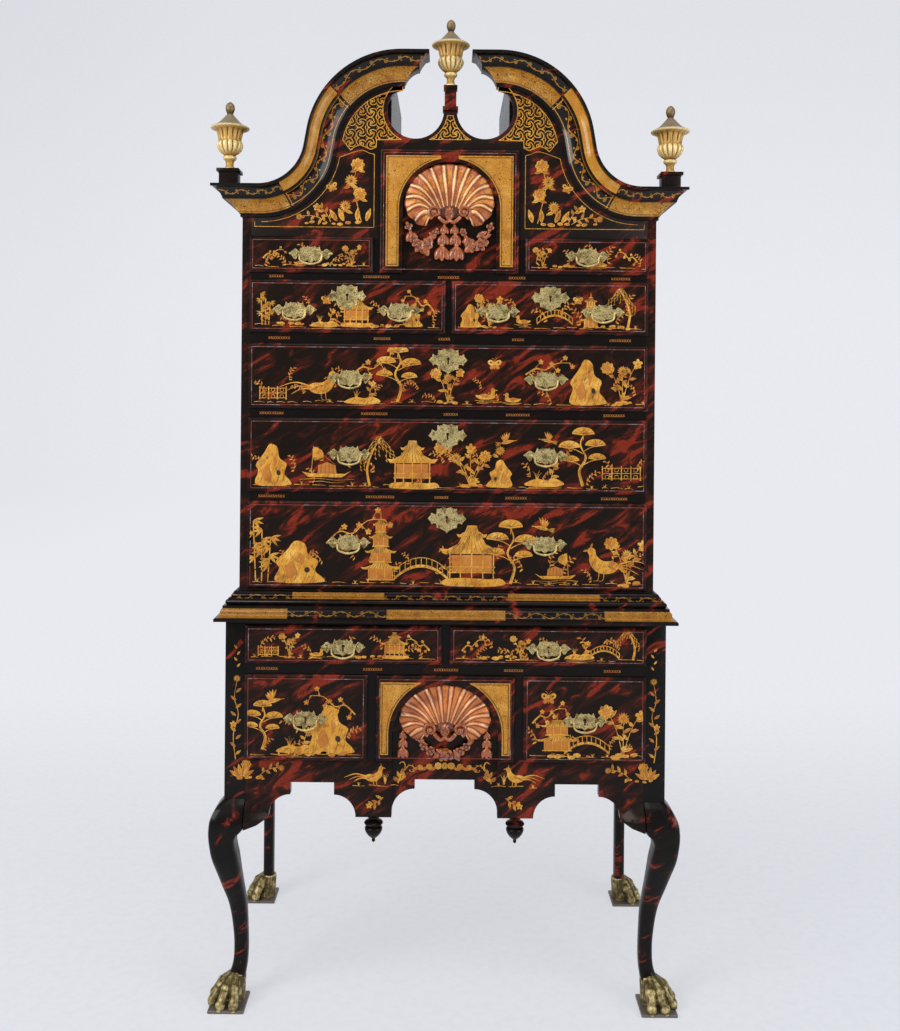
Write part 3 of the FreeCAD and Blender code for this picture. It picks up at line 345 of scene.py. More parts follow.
def raised_gilding():
    """Gilded gesso with short dark brush strokes over it."""
    f = Finish("raised_gilding", metallic=0.25)
    tone, fine = gold_tones(f)
    lines = f.noise(f.turned((0, 24, 0), (0.0030, 0.004, 0.014)), 1.0, 2.5, 0.6, 0.5)
    shade = f.noise(f.turned((0, 35, 0), (0.012, 0.02, 0.024)), 1.0, 2.0, 0.5)
    dark = f.between(lines, 0.53, 0.66) * 0.55 + f.between(shade, 0.52, 0.66) * 0.35
    return f.done(f.mix(tone, linear("#5a2a0a"), dark), 0.42 + fine * 0.2, fine)


def ink():
    """Dark lines drawn over the gilding."""
    f = Finish("ink_lines", roughness=0.4)
    return f.done(f.mix(linear("#150c08"), linear("#3a1a0c"), f.noise(f.place, 300.0)))


def red_gilding():
    """Redder gold of the shaded leaves and far hills."""
    f = Finish("red_gilding", metallic=0.2)
    tone, fine = gold_tones(f)
    return f.done(f.mix(tone, linear("#a5501c"), 0.62), 0.45 + fine * 0.2)


def gold_ground():
    """Gold band with small dark scrolls and specks."""
    f = Finish("gold_ground", metallic=0.2)
    tone, fine = gold_tones(f)
    curl = f.curls(95.0, 0.055)
    speck = 1.0 - f.between(f.cells(f.place, 330.0), 0.16, 0.3)
    dark = (curl * 0.8).high(speck * f.between(fine, 0.4, 0.6) * 0.8)
    tone = f.mix(tone, linear("#b87618"), 0.45)
    return f.done(f.mix(tone, SEPIA, dark), 0.4 + fine * 0.15, fine - dark)


def old_brass():
    """Pale old brass, dull and darker in its hollows, with fine scratches."""
    s = settings().finish
    f = Finish("old_brass", metallic=0.92)
    cloud = f.noise(f.place, 55.0, 5.0, 0.65)
    scratch = f.noise(f.turned((0, 40, 0), (0.02, 0.02, 0.0005)), 1.0, 2.0, 0.7)
    tone = f.mix(s.brass, s.patina, f.between(cloud, 0.46, 0.74) * 0.75)
    return f.done(tone, 0.3 + cloud * 0.22 + scratch * 0.06, cloud * 0.6 + scratch * 0.3,
                  0.0003)


def engraved_brass():
    """Brass of the plates, with small engraved scrolls."""
    s = settings().finish
    f = Finish("engraved_brass", metallic=0.9)
    cloud = f.noise(f.place, 60.0, 5.0, 0.65)
    cut = f.curls(165.0, 0.10, 6.0)
    tone = f.mix(s.brass, s.patina, f.between(cloud, 0.44, 0.66) * 0.8)
    return f.done(f.mix(tone, linear("#3a3220"), cut * 0.9), 0.34 + cloud * 0.2 + cut * 0.15,
                  cloud * 0.4 - cut, 0.0002, 0.6)


def carved_gold(name, light, mid, dark):
    """Carving: painted highlight on its ridges, painted shade in its hollows, darker patches."""
    f = Finish(name, metallic=0.3, coat_weight=0.25, coat_roughness=0.3)
    edge = f.edge()
    fine = f.noise(f.place, 240.0, 4.0, 0.65)
    patch = f.noise(f.place, 32.0, 3.0, 0.5)
    # Painted highlight: lighter where the surface bends outwards.
    tone = f.mix(linear(mid), linear(light), f.between(edge + (fine - 0.5) * 0.06, 0.5, 0.56))
    # Painted shade: darker where the surface bends inwards.
    tone = f.mix(tone, linear(dark), f.between(1.0 - edge + (patch - 0.5) * 0.05, 0.505, 0.56))
    tone = f.mix(tone, linear(dark), f.between(patch, 0.5, 0.8) * 0.45)
    return f.done(tone, 0.36 + fine * 0.25, fine, 0.0004)


def fan_gold(name, ridge, light, mid, dark):
    """Fan shell: redder flutes, painted shade beside the ridges and a painted highlight on each,
    stippled with rubbed pigment.
    """
    f = Finish(name, metallic=0.25, coat_weight=0.3, coat_roughness=0.25)
    crest = f.node("ShaderNodeAttribute", {"attribute_name": "crest"}, out="Fac")
    fine = f.noise(f.place, 260.0, 4.0, 0.7)
    patch = f.noise(f.place, 26.0, 3.0, 0.5)
    line = crest + (fine - 0.5) * 0.2
    tone = f.mix(linear(mid), linear(light), f.between(patch + (fine - 0.5) * 0.9, 0.40, 0.66))
    # Painted shade in the creases beside each ridge.
    painted_groove_shade = f.between(line, 0.08, 0.24) * (1.0 - f.between(line, 0.46, 0.60))
    tone = f.mix(tone, linear(dark), painted_groove_shade * 0.9)
    # Painted highlight along each ridge.
    tone = f.mix(tone, linear(ridge), f.between(line, 0.66, 0.86) * 0.9)
    tone = f.mix(tone, linear(dark), f.between(1.0 - patch, 0.54, 0.72) * 0.35)
    return f.done(tone, 0.3 + fine * 0.25, fine, 0.0005, 0.6)


def varnished():
    """Festoons: wet dark red varnish, painted highlights on raised parts and painted shade in
    hollows.
    """
    f = Finish("varnished_festoon", coat_weight=1.0, coat_roughness=0.08)
    edge = f.edge()
    rub = f.noise(f.place, 120.0, 4.0, 0.65)
    high = edge + (rub - 0.5) * 0.2
    # Painted highlight: lighter red where the surface bends outwards; hollows keep the dark red as
    # painted shade.
    tone = f.mix(linear("#4a1508"), linear("#b0561c"), f.between(high, 0.49, 0.58))
    # Painted glints of gold on the most raised points.
    tone = f.mix(tone, linear("#e0a04e"), f.between(high, 0.56, 0.66) * 0.8)
    tone = f.mix(tone, linear("#1a0604"), f.between(rub, 0.50, 0.68) * 0.75)
    return f.done(tone, 0.25 + rub * 0.25, rub, 0.0008, 0.8)


def arabesque():
    """Gold lattice on black: rosettes whose scrolls turn left and right by turns."""
    s = settings().finish
    f = Finish("arabesque", coat_weight=0.06, specular_ior_level=0.2)
    gold, fine = gold_tones(f)
    x, _, z = f.parts(f.place)
    across, up = abs(x) / ROSETTE, z / ROSETTE
    u, v = across % 1.0 - 0.5, up % 1.0 - 0.5
    way = ((across - u + up - v) % 2.0) * 2.0 - 1.0
    far = (u * u + v * v).root()
    turn = u.bearing(v) * way
    arm = (turn * 3.0 + far * 21.0).sine() + (turn * 9.0 + far * 40.0).sine() * 0.35
    scroll = f.between(arm, 0.45, 0.72) * f.between(far, 0.17, 0.20)
    petal = 1.0 - f.between(far - (turn * 6.0).sine() * 0.035, 0.12, 0.15)
    drawn = scroll.high(petal * f.between(far, 0.03, 0.05))
    return f.done(f.mix(s.ground, gold, drawn * 0.95), 0.32 + fine * 0.2, drawn, 0.0003, 0.6)


def worn_edge():
    """Border line: red, turned dull lilac grey in patches as a painted highlight."""
    f = Finish("worn_edge", specular_ior_level=0.4)
    rub = f.noise(f.place, 45.0, 4.0, 0.7)
    # Red line, lilac grey in patches as a painted highlight of the lip's edge.
    tone = f.mix(linear("#7a2a1c"), linear("#8b7f88"), f.between(rub, 0.50, 0.64))
    return f.done(tone, 0.35 + rub * 0.2)


def old_pine(name, text, plank):
    """Old pine with its grain; plank is the width of a board, or 0."""
    f = Finish(name, roughness=0.62)
    _, _, z = f.parts(f.place)
    grain = f.noise(f.turned((0, 0, 0), (0.30, 0.25, 0.012)), 1.0, 5.0, 0.6, 1.2)
    rings = abs((grain * 9.0) % 1.0 - 0.5)
    tone = f.mix(linear(text), linear("#6f4a24"), f.between(rings, 0.2, 0.48) * 0.55)
    dirt = f.noise(f.place, 9.0, 4.0, 0.6)
    tone = f.mix(tone, linear("#3b2818"), f.between(dirt, 0.5, 0.8) * 0.6)
    height = rings
    if plank:
        gap = f.within((z / plank) % 1.0 - 0.5, 0.0, 0.008)
        tone = f.mix(tone, linear("#120b07"), gap)
        height = rings * 0.3 - gap * 2.0
    return f.done(tone, None, height, 0.0006)


def bronzed():
    """Paws: dark bronze green, pale gold painted on the ridges as a highlight, dark fur strokes."""
    f = Finish("bronzed_paw", metallic=0.5)
    edge = f.edge()
    fur = f.noise(f.turned((0, 0, 0), (0.0025, 0.0025, 0.014)), 1.0, 3.0, 0.6, 0.5)
    rub = f.noise(f.place, 70.0, 4.0, 0.6)
    high = f.between(edge + (rub - 0.5) * 0.12, 0.495, 0.55)
    # Painted highlight: pale gold where the surface bends outwards.
    tone = f.mix(linear("#54461f"), linear("#e8d294"), high)
    tone = f.mix(tone, linear("#1c1710"), f.between(fur, 0.52, 0.7) * 0.6)
    return f.done(tone, 0.3 + rub * 0.25, fur + rub * 0.5, 0.0008, 0.6)


# --- making pieces ------------------------------------------------------------------------
def clear():
    """Object mode with nothing selected."""
    if bpy.context.mode != "OBJECT":
        leave()
    bpy.ops.object.select_all(action="DESELECT")


def only(obj):
    """Selects one object and makes it the active one."""
    clear()
    obj.select_set(True)
    bpy.context.view_layer.objects.active = obj
    return obj


def leave():
    """Back to object mode."""
    bpy.ops.object.mode_set(mode="OBJECT")


def edit(obj, mode="FACE"):
    """Edit mode with all of a piece selected."""
    only(obj)
    bpy.ops.object.mode_set(mode="EDIT")
    bpy.ops.mesh.select_mode(type=mode)
    bpy.ops.mesh.select_all(action="SELECT")


def pick(obj, wanted, kind="faces"):
    """Selects only the faces or edges that pass a test, in edit mode."""
    bpy.ops.mesh.select_all(action="DESELECT")
    mesh = bmesh.from_edit_mesh(obj.data)
    for element in getattr(mesh, kind):
        if wanted(element):
            element.select_set(True)
    bmesh.update_edit_mesh(obj.data)


def with_modifier(obj, kind, **values):
    """Adds a modifier and applies it."""
    only(obj)
    modifier = obj.modifiers.new(kind.title(), kind)
    for key, value in values.items():
        setattr(modifier, key, value)
    bpy.ops.object.modifier_apply(modifier=modifier.name)
    return obj


def ease(obj, width, segments=2):
    """Rounds the sharp edges."""
    return with_modifier(obj, "BEVEL", width=width, segments=segments, limit_method="ANGLE",
                         angle_limit=math.radians(35), harden_normals=False)


def board(x0, x1, y0, y1, z0, z1, edge=0.0012, segments=2):
    """A board between two corners, with eased edges."""
    clear()
    bpy.ops.mesh.primitive_cube_add(size=1, location=((x0 + x1) / 2, (y0 + y1) / 2,
                                                      (z0 + z1) / 2))
    obj = bpy.context.object
    obj.scale = (x1 - x0, y1 - y0, z1 - z0)
    bpy.ops.object.transform_apply(location=True, rotation=False, scale=True)
    return ease(obj, edge, segments) if edge else obj


def together(pieces):
    """Joins pieces into the first one."""
    clear()
    for piece in pieces:
        piece.select_set(True)
    bpy.context.view_layer.objects.active = pieces[0]
    if len(pieces) > 1:
        bpy.ops.object.join()
    return pieces[0]


def twin(obj):
    """A copy with its own mesh."""
    copy = obj.copy()
    copy.data = obj.data.copy()
    bpy.context.scene.collection.objects.link(copy)
    return copy


def placed(obj, x=0.0, y=0.0, z=0.0, turn=None, axis="Z"):
    """Moves and turns a piece and puts that into its mesh."""
    only(obj)
    if turn:
        obj.matrix_world = Matrix.Rotation(math.radians(turn), 4, axis) @ obj.matrix_world
    obj.matrix_world = Matrix.Translation((x, y, z)) @ obj.matrix_world
    bpy.ops.object.transform_apply(location=True, rotation=True, scale=True)
    return obj


def mirrored(obj):
    """A copy on the other side of the middle."""
    copy = twin(obj)
    copy.data.transform(Matrix.Scale(-1, 4, (1, 0, 0)))
    copy.data.flip_normals()
    return copy


def outward(obj):
    """Merges doubles and points the faces outwards."""
    edit(obj)
    bpy.ops.mesh.remove_doubles(threshold=0.00001)
    bpy.ops.mesh.normals_make_consistent(inside=False)
    leave()
    return obj


def coat(obj, *looks):
    """Gives an object the finishes of these names, in this order."""
    obj.data.materials.clear()
    for name in looks:
        obj.data.materials.append(finish(name))


def settle(obj, name, body, looks, replaces=(), smooth=32):
    """Names a finished piece, gives it its finishes and lets it ride on its body."""
    only(obj)
    bpy.ops.object.transform_apply(location=True, rotation=True, scale=True)
    obj.name = name
    obj.data.name = name
    if looks:
        coat(obj, *looks.split())
    bpy.ops.object.shade_smooth_by_angle(angle=math.radians(smooth))
    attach(obj, body)
    if replaces:
        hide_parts(*replaces)
    return obj


def shaped_face(points):
    """A flat many-sided face: a disc whose corners are moved to the points."""
    clear()
    bpy.ops.mesh.primitive_circle_add(vertices=len(points), radius=1, fill_type="NGON")
    obj = bpy.context.object
    for vertex, point in zip(obj.data.vertices, points):
        vertex.co = point
    return obj


def pull(x, y, z):
    """Extrudes what is selected in edit mode."""
    bpy.ops.mesh.extrude_region_move(TRANSFORM_OT_translate={"value": (x, y, z)})


def cut_panel(points, y0, y1, edge=0.0):
    """A panel that faces the front, sawn to an (x, z) outline."""
    obj = shaped_face([(x, y0, z) for x, z in points])
    edit(obj)
    pull(0, y1 - y0, 0)
    leave()
    outward(obj)
    return ease(obj, edge) if edge else obj


def turned(profile, x, y, z, sides=48, lobes=None):
    """Turned piece from (radius, height) rings; lobes gives a count and the rings' hollows."""
    clear()
    bpy.ops.mesh.primitive_circle_add(vertices=sides, radius=profile[0][0], fill_type="NGON",
                                      location=(x, y, z + profile[0][1]))
    obj = bpy.context.object
    edit(obj)
    for (r0, h0), (r1, h1) in zip(profile, profile[1:]):
        pull(0, 0, h1 - h0)
        bpy.ops.transform.resize(value=(r1 / r0, r1 / r0, 1), center_override=(x, y, z + h1))
    leave()
    bpy.ops.object.transform_apply(location=True, rotation=False, scale=False)
    if lobes:
        count, depth = lobes
        for vertex in obj.data.vertices:
            a = math.atan2(vertex.co.y - y, vertex.co.x - x)
            fall = depth(vertex.co.z - z) * (1 - abs(math.cos(a * count / 2)) ** 0.6)
            if fall:
                r = math.hypot(vertex.co.x - x, vertex.co.y - y)
                share = max(0.2, 1 - fall / max(r, 1e-6))
                vertex.co.x = x + (vertex.co.x - x) * share
                vertex.co.y = y + (vertex.co.y - y) * share
    return outward(obj)


def rod(points, radii, sides=10):
    """A round rod or stem along points, thick as the radii say."""
    curve = bpy.data.curves.new("rod", "CURVE")
    curve.dimensions = "3D"
    curve.bevel_depth = 1.0
    curve.bevel_resolution = max(1, sides // 4)
    curve.use_fill_caps = True
    curve.resolution_u = 5
    spline = curve.splines.new("NURBS")
    spline.points.add(len(points) - 1)
    for spot, point, radius in zip(spline.points, points, radii):
        spot.co = (*point, 1.0)
        spot.radius = radius
    spline.order_u = 3
    spline.use_endpoint_u = True
    obj = bpy.data.objects.new("rod", curve)
    bpy.context.scene.collection.objects.link(obj)
    only(obj)
    bpy.ops.object.convert(target="MESH")
    return outward(bpy.context.object)


def ball(x, y, z, rx, ry=None, rz=None, segments=16, rings=8):
    """A ball, or an egg with three radii."""
    clear()
    bpy.ops.mesh.primitive_uv_sphere_add(segments=segments, ring_count=rings, radius=1,
                                         location=(x, y, z))
    obj = bpy.context.object
    obj.scale = (rx, ry or rx, rz or rx)
    bpy.ops.object.transform_apply(location=True, rotation=False, scale=True)
    return obj


# --- case ---------------------------------------------------------------------------------
# Fronts of the two cases and the back of both, along Y.
UPPER_FRONT = corner("upper_blades", 0, 1)
FRONT = corner("stand_blades", 0, 1)
BACK = corner("upper_back", 1, 1)
# Drawers: height off the runners, width and thickness of the lip, clearance beside and above;
# thickness of front and lining, depth; height and thickness of the bottom board.
SEAT, LIP, LIP_T, CLEAR, TOP_CLEAR = 0.0003, 0.004, 0.009, 0.0015, 0.003
FRONT_T, LINING_T, DRAWER_DEPTH = 0.014, 0.010, 0.490
BOTTOM_UP, BOTTOM_T = 0.008, 0.007
# Corner posts, half widths of the two cases, and where the knees end.
POST = 0.052
LOWER_HALF, UPPER_HALF = 0.539, 0.512
KNEE_TOP = 0.505
LOWER_TOP = corner("stand_back", 1, 2)
# Crown moulding: its foot, height and overhang; the swan neck's hollow and dome, their
# angle and the straight run between them; where the scroll ends.
CROWN_Z, CROWN_H, CROWN_P = 1.933, 0.072, 0.066
NECK_R, SCROLL_R, NECK_RUN = 0.185, 0.160, 0.0425
STEEP = math.radians(80.0)
SCROLL_END = 0.118
SCROLL_Z = CROWN_Z + (NECK_R + SCROLL_R) * (1 - math.cos(STEEP)) + NECK_RUN * math.sin(STEEP)
NECK_START = SCROLL_END + (NECK_R + SCROLL_R) * math.sin(STEEP) + NECK_RUN * math.cos(STEEP)
# Tympanum board: its opening's lobes, the shell drawer's place and its own half width.
LOBE_X, LOBE_Z, LOBE_R = 0.086, 2.202, 0.070
SHELL_TOP, SHELL_HALF = 2.100, 0.1682
ROW5_TOP = 1.883
BOARD_HALF = 0.490
# Middles of the swan neck's bends, as (x, z).
HOLLOW = (-NECK_START, CROWN_Z + NECK_R)
DOME = (-SCROLL_END, SCROLL_Z - SCROLL_R)


def vine(f, along, across, pitch, height):
    """Painted running vine: a waving stem with a curl and leaves at each turn."""
    wave = (along * (math.pi / pitch)).sine() * (height * 0.30)
    stem = f.within(across - wave, 0.0006, 0.0013)
    cell = (along + pitch / 2) % pitch - pitch / 2
    side = ((along + pitch / 2) / pitch).floor() % 2.0
    middle = (side * 2.0 - 1.0) * (height * -0.16)
    reach = (cell * cell + (across - middle) * (across - middle)).root()
    ring = f.within(reach - height * 0.15, 0.0005, 0.0012)
    bud = 1.0 - f.between(reach, height * 0.05, height * 0.09)
    leaf_cell = (along * 2.0 + pitch * 0.3) % pitch - pitch / 2
    leaf = 1.0 - f.between((leaf_cell * leaf_cell * 0.30
                            + (across + middle * 1.1) * (across + middle * 1.1) * 3.0).root(),
                           height * 0.10, height * 0.15)
    return stem.high(ring).high(bud).high(leaf)


def crown_finish():
    """Swan neck: gold panels and black panels with a painted vine, changing places."""
    s = settings().finish
    f = Finish("crown_japan", coat_weight=0.5, coat_roughness=0.08, specular_ior_level=0.1)
    run = f.node("ShaderNodeAttribute", {"attribute_name": "run"}, out="Vector")
    along, up, out = f.parts(run)
    base, red = japan_ground(f, 0.0)
    base = f.mix(base, BLACK, (1.0 - red) * 0.8)
    gold, fine = gold_tones(f)
    curl = f.curls(85.0, 0.10)

    def pair(place, a, b, core, rim):
        """Two thin lines, where the place is a and where it is b."""
        return f.within(place - a, core, rim).high(f.within(place - b, core, rim))

    middle = f.band(along, 0.0805, 0.0815, 0.384, 0.385)
    line = pair(along, 0.081, 0.3845, 0.0009, 0.0014)
    inner = pair(along, 0.087, 0.3785, 0.0007, 0.0012)
    cove = f.band(out, 0.0072, 0.0082, 0.0365, 0.0372)
    edge = pair(out, 0.0095, 0.0352, 0.0003, 0.0007)
    band = f.band(up, 0.0438, 0.0444, 0.0640, 0.0646)
    gold = f.mix(gold, s.deep_gold, 0.3)
    gilded = f.mix(gold, SEPIA, (curl * 0.8).high(edge * 0.8))
    painted = vine(f, along, out - 0.022, 0.034, 0.024)
    black = f.mix(base, s.gold, (painted * 0.7).high(inner).high(edge * 0.9))
    strip = f.mix(gold, SEPIA, f.curls(150.0, 0.05) * 0.5)
    dark = f.mix(base, s.gold, vine(f, along, up - 0.054, 0.026, 0.016) * 0.55)
    tone = f.mix(base, f.mix(gilded, black, middle), cove)
    tone = f.mix(tone, f.mix(dark, strip, middle), band)
    tone = f.mix(tone, linear("#0c0806"), line * cove.high(band))
    return f.done(tone, 0.24 + fine * 0.2, fine * 0.4 + red * 0.2, 0.0002, 0.4)


def moulding_finish():
    """Waist mouldings: black and red, with gold panels here and there along the front."""
    s = settings().finish
    f = Finish("waist_japan", coat_weight=0.35, coat_roughness=0.1, specular_ior_level=0.1)
    x, _, z = f.parts(f.place)
    base, red = japan_ground(f, 0.01)
    base = f.mix(base, BLACK, (1.0 - red) * 0.6)
    gold, fine = gold_tones(f)
    curl = f.curls(140.0, 0.09)
    gilded = f.mix(f.mix(gold, linear("#7a4716"), 0.6), SEPIA, curl * 0.9)
    painted = f.mix(base, s.gold, vine(f, x, z - 0.9985, 0.030, 0.016) * 0.35)
    wave = f.mix(base, s.gold, vine(f, x, z - 0.962, 0.034, 0.020) * 0.35)
    far = abs(x)
    upper = f.band(z, 0.9945, 0.9952, 1.0085, 1.0092)
    lower = f.band(z, 0.9515, 0.9522, 0.9725, 0.9732)
    panel_up = f.band(far, 0.152, 0.153, 0.378, 0.379)
    panel_low = (1.0 - f.between(far, 0.144, 0.145)).high(f.between(far, 0.386, 0.387))
    tone = f.mix(base, f.mix(painted, gilded, panel_up), upper)
    tone = f.mix(tone, f.mix(wave, gilded, panel_low), lower)
    return f.done(tone, 0.25 + fine * 0.2, fine * 0.4 + red * 0.2, 0.0002, 0.4)


def tympanum_finish():
    """Tympanum: tortoiseshell above, plain black round the carved drawer."""
    f = Finish("tympanum_japan", coat_weight=0.08, coat_roughness=0.2,
               specular_ior_level=0.18)
    x, _, z = f.parts(f.place)
    base, red = japan_ground(f, 0.02)
    quiet = f.within(x, 0.196, 0.204) * (1.0 - f.between(z, 2.118, 2.126))
    return worn(f, f.mix(base, japan_ground(f, -0.09)[0], quiet), red)


# Each finish with the function that makes it and what that is told.
FINISHES = {
    "tortoiseshell": (japan, "tortoiseshell_japan", 0.03),
    "leg": (japan, "leg_japan", 0.025, 0.85, 0.13),
    "black": (japan, "black_japan", -0.085, 0.6),
    "pine": (old_pine, "drawer_pine", "#c39a62", 0.0),
    "back": (old_pine, "back_boards", "#8a633c", 0.21),
    # carved_gold rows: painted highlight, mid tone, and painted shade that also darkens patches.
    "iron": (carved_gold, "old_iron", "#6d665c", "#3a3631", "#191716"),
    "urn": (carved_gold, "gilded_urn", "#f7e2a4", "#c89b4a", "#6e4a1a"),
    "lid": (carved_gold, "gilded_lid", "#cfc3a4", "#8d7b5c", "#4c3c28"),
    "bud": (carved_gold, "bronzed_bud", "#a88c58", "#5c4526", "#281c10"),
    # fan_gold rows: painted ridge highlight, light and mid tones, painted groove shade that also
    # darkens patches.
    "upper_shell": (fan_gold, "gilded_shell", "#f4cd8c", "#dc8f38", "#ab531c", "#6a220e"),
    "lower_shell": (fan_gold, "varnished_shell", "#e8ae7c", "#dc7f38", "#b0602a", "#5a220e"),
    "raised": (raised_gilding,), "red_gold": (red_gilding,), "ink": (ink,),
    # The worn row is a red border line with a painted highlight in lilac grey.
    "worn": (worn_edge,), "arabesque": (arabesque,), "gold_ground": (gold_ground,),
    "brass": (old_brass,), "plate": (engraved_brass,), "festoon": (varnished,),
    "paw": (bronzed,), "crown": (crown_finish,), "moulding": (moulding_finish,),
    "tympanum": (tympanum_finish,),
}
MATERIALS = {}


def finish(name):
    """One of the named finishes, made when it is first asked for."""
    if name not in MATERIALS:
        maker, *told = FINISHES[name]
        MATERIALS[name] = maker(*told)
    return MATERIALS[name]


def neck_line(n, steps=28):
    """Left half of the swan neck, n outside the tympanum's edge, from the side inwards."""
    line = []
    for (x, z), r, way in ((HOLLOW, NECK_R - n, 1), (DOME, SCROLL_R + n, -1)):
        for k in range(steps + 1):
            a = STEEP * k / steps if way > 0 else STEEP * (1 - k / steps)
            line.append((x + way * r * math.sin(a), z - way * r * math.cos(a)))
    return line


def lobe_line(r, steps=40):
    """Right-hand edge of the left lobe of the opening, from the scroll down and round."""
    start = math.acos(-(SCROLL_END - LOBE_X) / r)
    return [(-LOBE_X + r * math.cos(start + (2 * math.pi - start) * k / steps),
             LOBE_Z + r * math.sin(start + (2 * math.pi - start) * k / steps))
            for k in range(steps + 1)]


def tympanum_outline():
    """Edge of the tympanum board, with the two-lobed opening and the drawer's place."""
    left = [(-SHELL_HALF, ROW5_TOP), (-BOARD_HALF, ROW5_TOP), (-BOARD_HALF, CROWN_Z + CROWN_H)]
    left += neck_line(CROWN_H, 20)
    left += lobe_line(LOBE_R)
    right = [(-x, z) for x, z in reversed(left)]
    return left + right + [(SHELL_HALF, SHELL_TOP), (-SHELL_HALF, SHELL_TOP)]


# --- drawers ------------------------------------------------------------------------------
DRAWERS = [name for name in frame["record"]["behaviour"]["bodies"]
           if "drawer" in name and not name.startswith("bail_")]
SHELL_DRAWERS = ("upper_shell_drawer", "stand_shell_drawer")
SHELL_FRONT_T = 0.0262
# A drawer's edge: how far in the field starts, the step there and the fall of the edge.
FIELD_IN, STEP, THUMB = 0.0055, 0.0005, 0.0045
# Height of the keyholes over the middle of their drawers.
KEY_UP = {"half_drawer_left": 0.0245, "half_drawer_right": 0.0245, "long_drawer_bottom": 0.068,
          "long_drawer_middle": 0.0507, "long_drawer_top": 0.0416}


def case_front(name):
    """Where the front of the case that holds a drawer lies."""
    return FRONT if name.startswith("stand") else UPPER_FRONT


def opening(name):
    """The opening of a drawer: x0, x1, z0, z1."""
    low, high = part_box(name)
    return low.x + LIP, high.x - LIP, low.z + LIP, high.z - LIP


def pulls(name):
    """Hinge point of each bail of a drawer, with the bail's body."""
    return [(Vector(joint["pos_m"]), joint["child"]) for joint in frame["joints"]
            if joint["parent"] == name]


def key_height(name):
    """Height of a drawer's keyhole, or None where it has no key plate."""
    _, _, z0, z1 = opening(name)
    return (z0 + z1) / 2 + KEY_UP[name] if name in KEY_UP else None


def drawer_lining(name):
    """Sides, back and bottom of a drawer behind its front."""
    x0, x1, z0, z1 = opening(name)
    y = case_front(name)
    a, b = x0 + CLEAR, x1 - CLEAR
    low, high = z0 + SEAT, z1 - TOP_CLEAR
    start, end = y + FRONT_T, y + DRAWER_DEPTH
    base = low + BOTTOM_UP
    parts = [board(a, a + LINING_T, start, end, low, high, 0.001),
             board(b - LINING_T, b, start, end, low, high, 0.001),
             board(a + LINING_T, b - LINING_T, end - LINING_T, end, low, high, 0.001),
             board(a + LINING_T, b - LINING_T, start, end - LINING_T, base, base + BOTTOM_T,
                   0.0)]
    return together(parts)


def plain_front(name):
    """Lipped drawer front with a rounded edge and a fine step inside it."""
    x0, x1, z0, z1 = opening(name)
    y = case_front(name) - SEAT
    slab = board(x0 - LIP, x1 + LIP, y - LIP_T, y, z0 - LIP, z1 + LIP, 0.0)
    edit(slab)
    pick(slab, lambda face: face.normal.y < -0.9)
    bpy.ops.mesh.inset(thickness=FIELD_IN, depth=0.0)
    bpy.ops.mesh.inset(thickness=0.0008, depth=-STEP)
    leave()
    for vertex in slab.data.vertices:
        near = min(vertex.co.x - x0 + LIP, x1 + LIP - vertex.co.x, vertex.co.z - z0 + LIP,
                   z1 + LIP - vertex.co.z)
        if vertex.co.y < y - LIP_T + 0.001 and near < 0.0001:
            vertex.co.y = y - LIP_T + THUMB
    ease(slab, 0.0018, 3)
    inner = board(x0 + CLEAR, x1 - CLEAR, y, y + SEAT + FRONT_T, z0 + SEAT, z1 - TOP_CLEAR, 0.0)
    return together([slab, inner])


class HIGHBOY_OT_drawers(bpy.types.Operator):
    """Build the drawer fronts and linings"""
    bl_idname = "highboy.drawers"
    bl_label = "Drawers"

    def execute(self, context):
        for name in DRAWERS:
            if name in SHELL_DRAWERS:
                node = frame["nodes"][name]
                coat(node, "tortoiseshell", "pine")
                behind = case_front(name) + SHELL_FRONT_T
                for face in node.data.polygons:
                    face.material_index = 1 if face.center.y > behind else 0
                continue
            settle(plain_front(name), name + "_front", name, "tortoiseshell",
                   (name,))
            settle(drawer_lining(name), name + "_lining", name, "pine")
        return {"FINISHED"}


# --- brasses ------------------------------------------------------------------------------
# Plates: thickness, half width and half height; places of the posts and the pins.
PLATE_T, PLATE_HALF, PLATE_TOP = 0.0016, 0.055, 0.0205
POST_X, PIN_X = 0.033, 0.049
KEY_HALF, KEY_TOP = 0.0478, 0.0286
# Pins of a key plate, and the lock's half width, half height and thickness.
KEY_PINS = ((-0.040, 0), (0.040, 0), (0, 0.0215), (0, -0.027))
LOCK_HALF, LOCK_HIGH, LOCK_T = 0.030, 0.016, 0.008
# Right half of each plate's outline, in shares of its half width and height.
PLATE_EDGE = [(0, 0.89), (0.1, 0.87), (0.16, 1.0), (0.22, 0.83), (0.315, 0.8), (0.38, 1.05),
              (0.42, 0.62), (0.47, 0.39), (0.56, 0.36), (0.62, 0.55), (0.68, 0.67),
              (0.75, 0.60), (0.88, 0.31), (1.0, 0.05), (0.88, -0.13), (0.80, -0.45),
              (0.71, -0.67), (0.64, -0.55), (0.6, -0.27), (0.49, -0.39), (0.44, -0.62),
              (0.38, -0.8), (0.22, -0.84), (0.15, -0.78), (0.08, -0.93), (0, -1.07)]
KEY_EDGE = [(0, 0.89), (0.10, 0.95), (0.22, 1.0), (0.30, 0.90), (0.37, 0.84), (0.53, 0.87),
            (0.52, 0.60), (0.565, 0.37), (0.70, 0.42), (0.8, 0.55), (0.84, 0.30), (1.0, 0),
            (0.84, -0.26), (0.78, -0.5), (0.68, -0.38), (0.565, -0.4), (0.52, -0.60),
            (0.53, -0.77), (0.34, -0.84), (0.26, -0.92), (0.16, -0.99), (0.06, -1.1),
            (0, -1.25)]


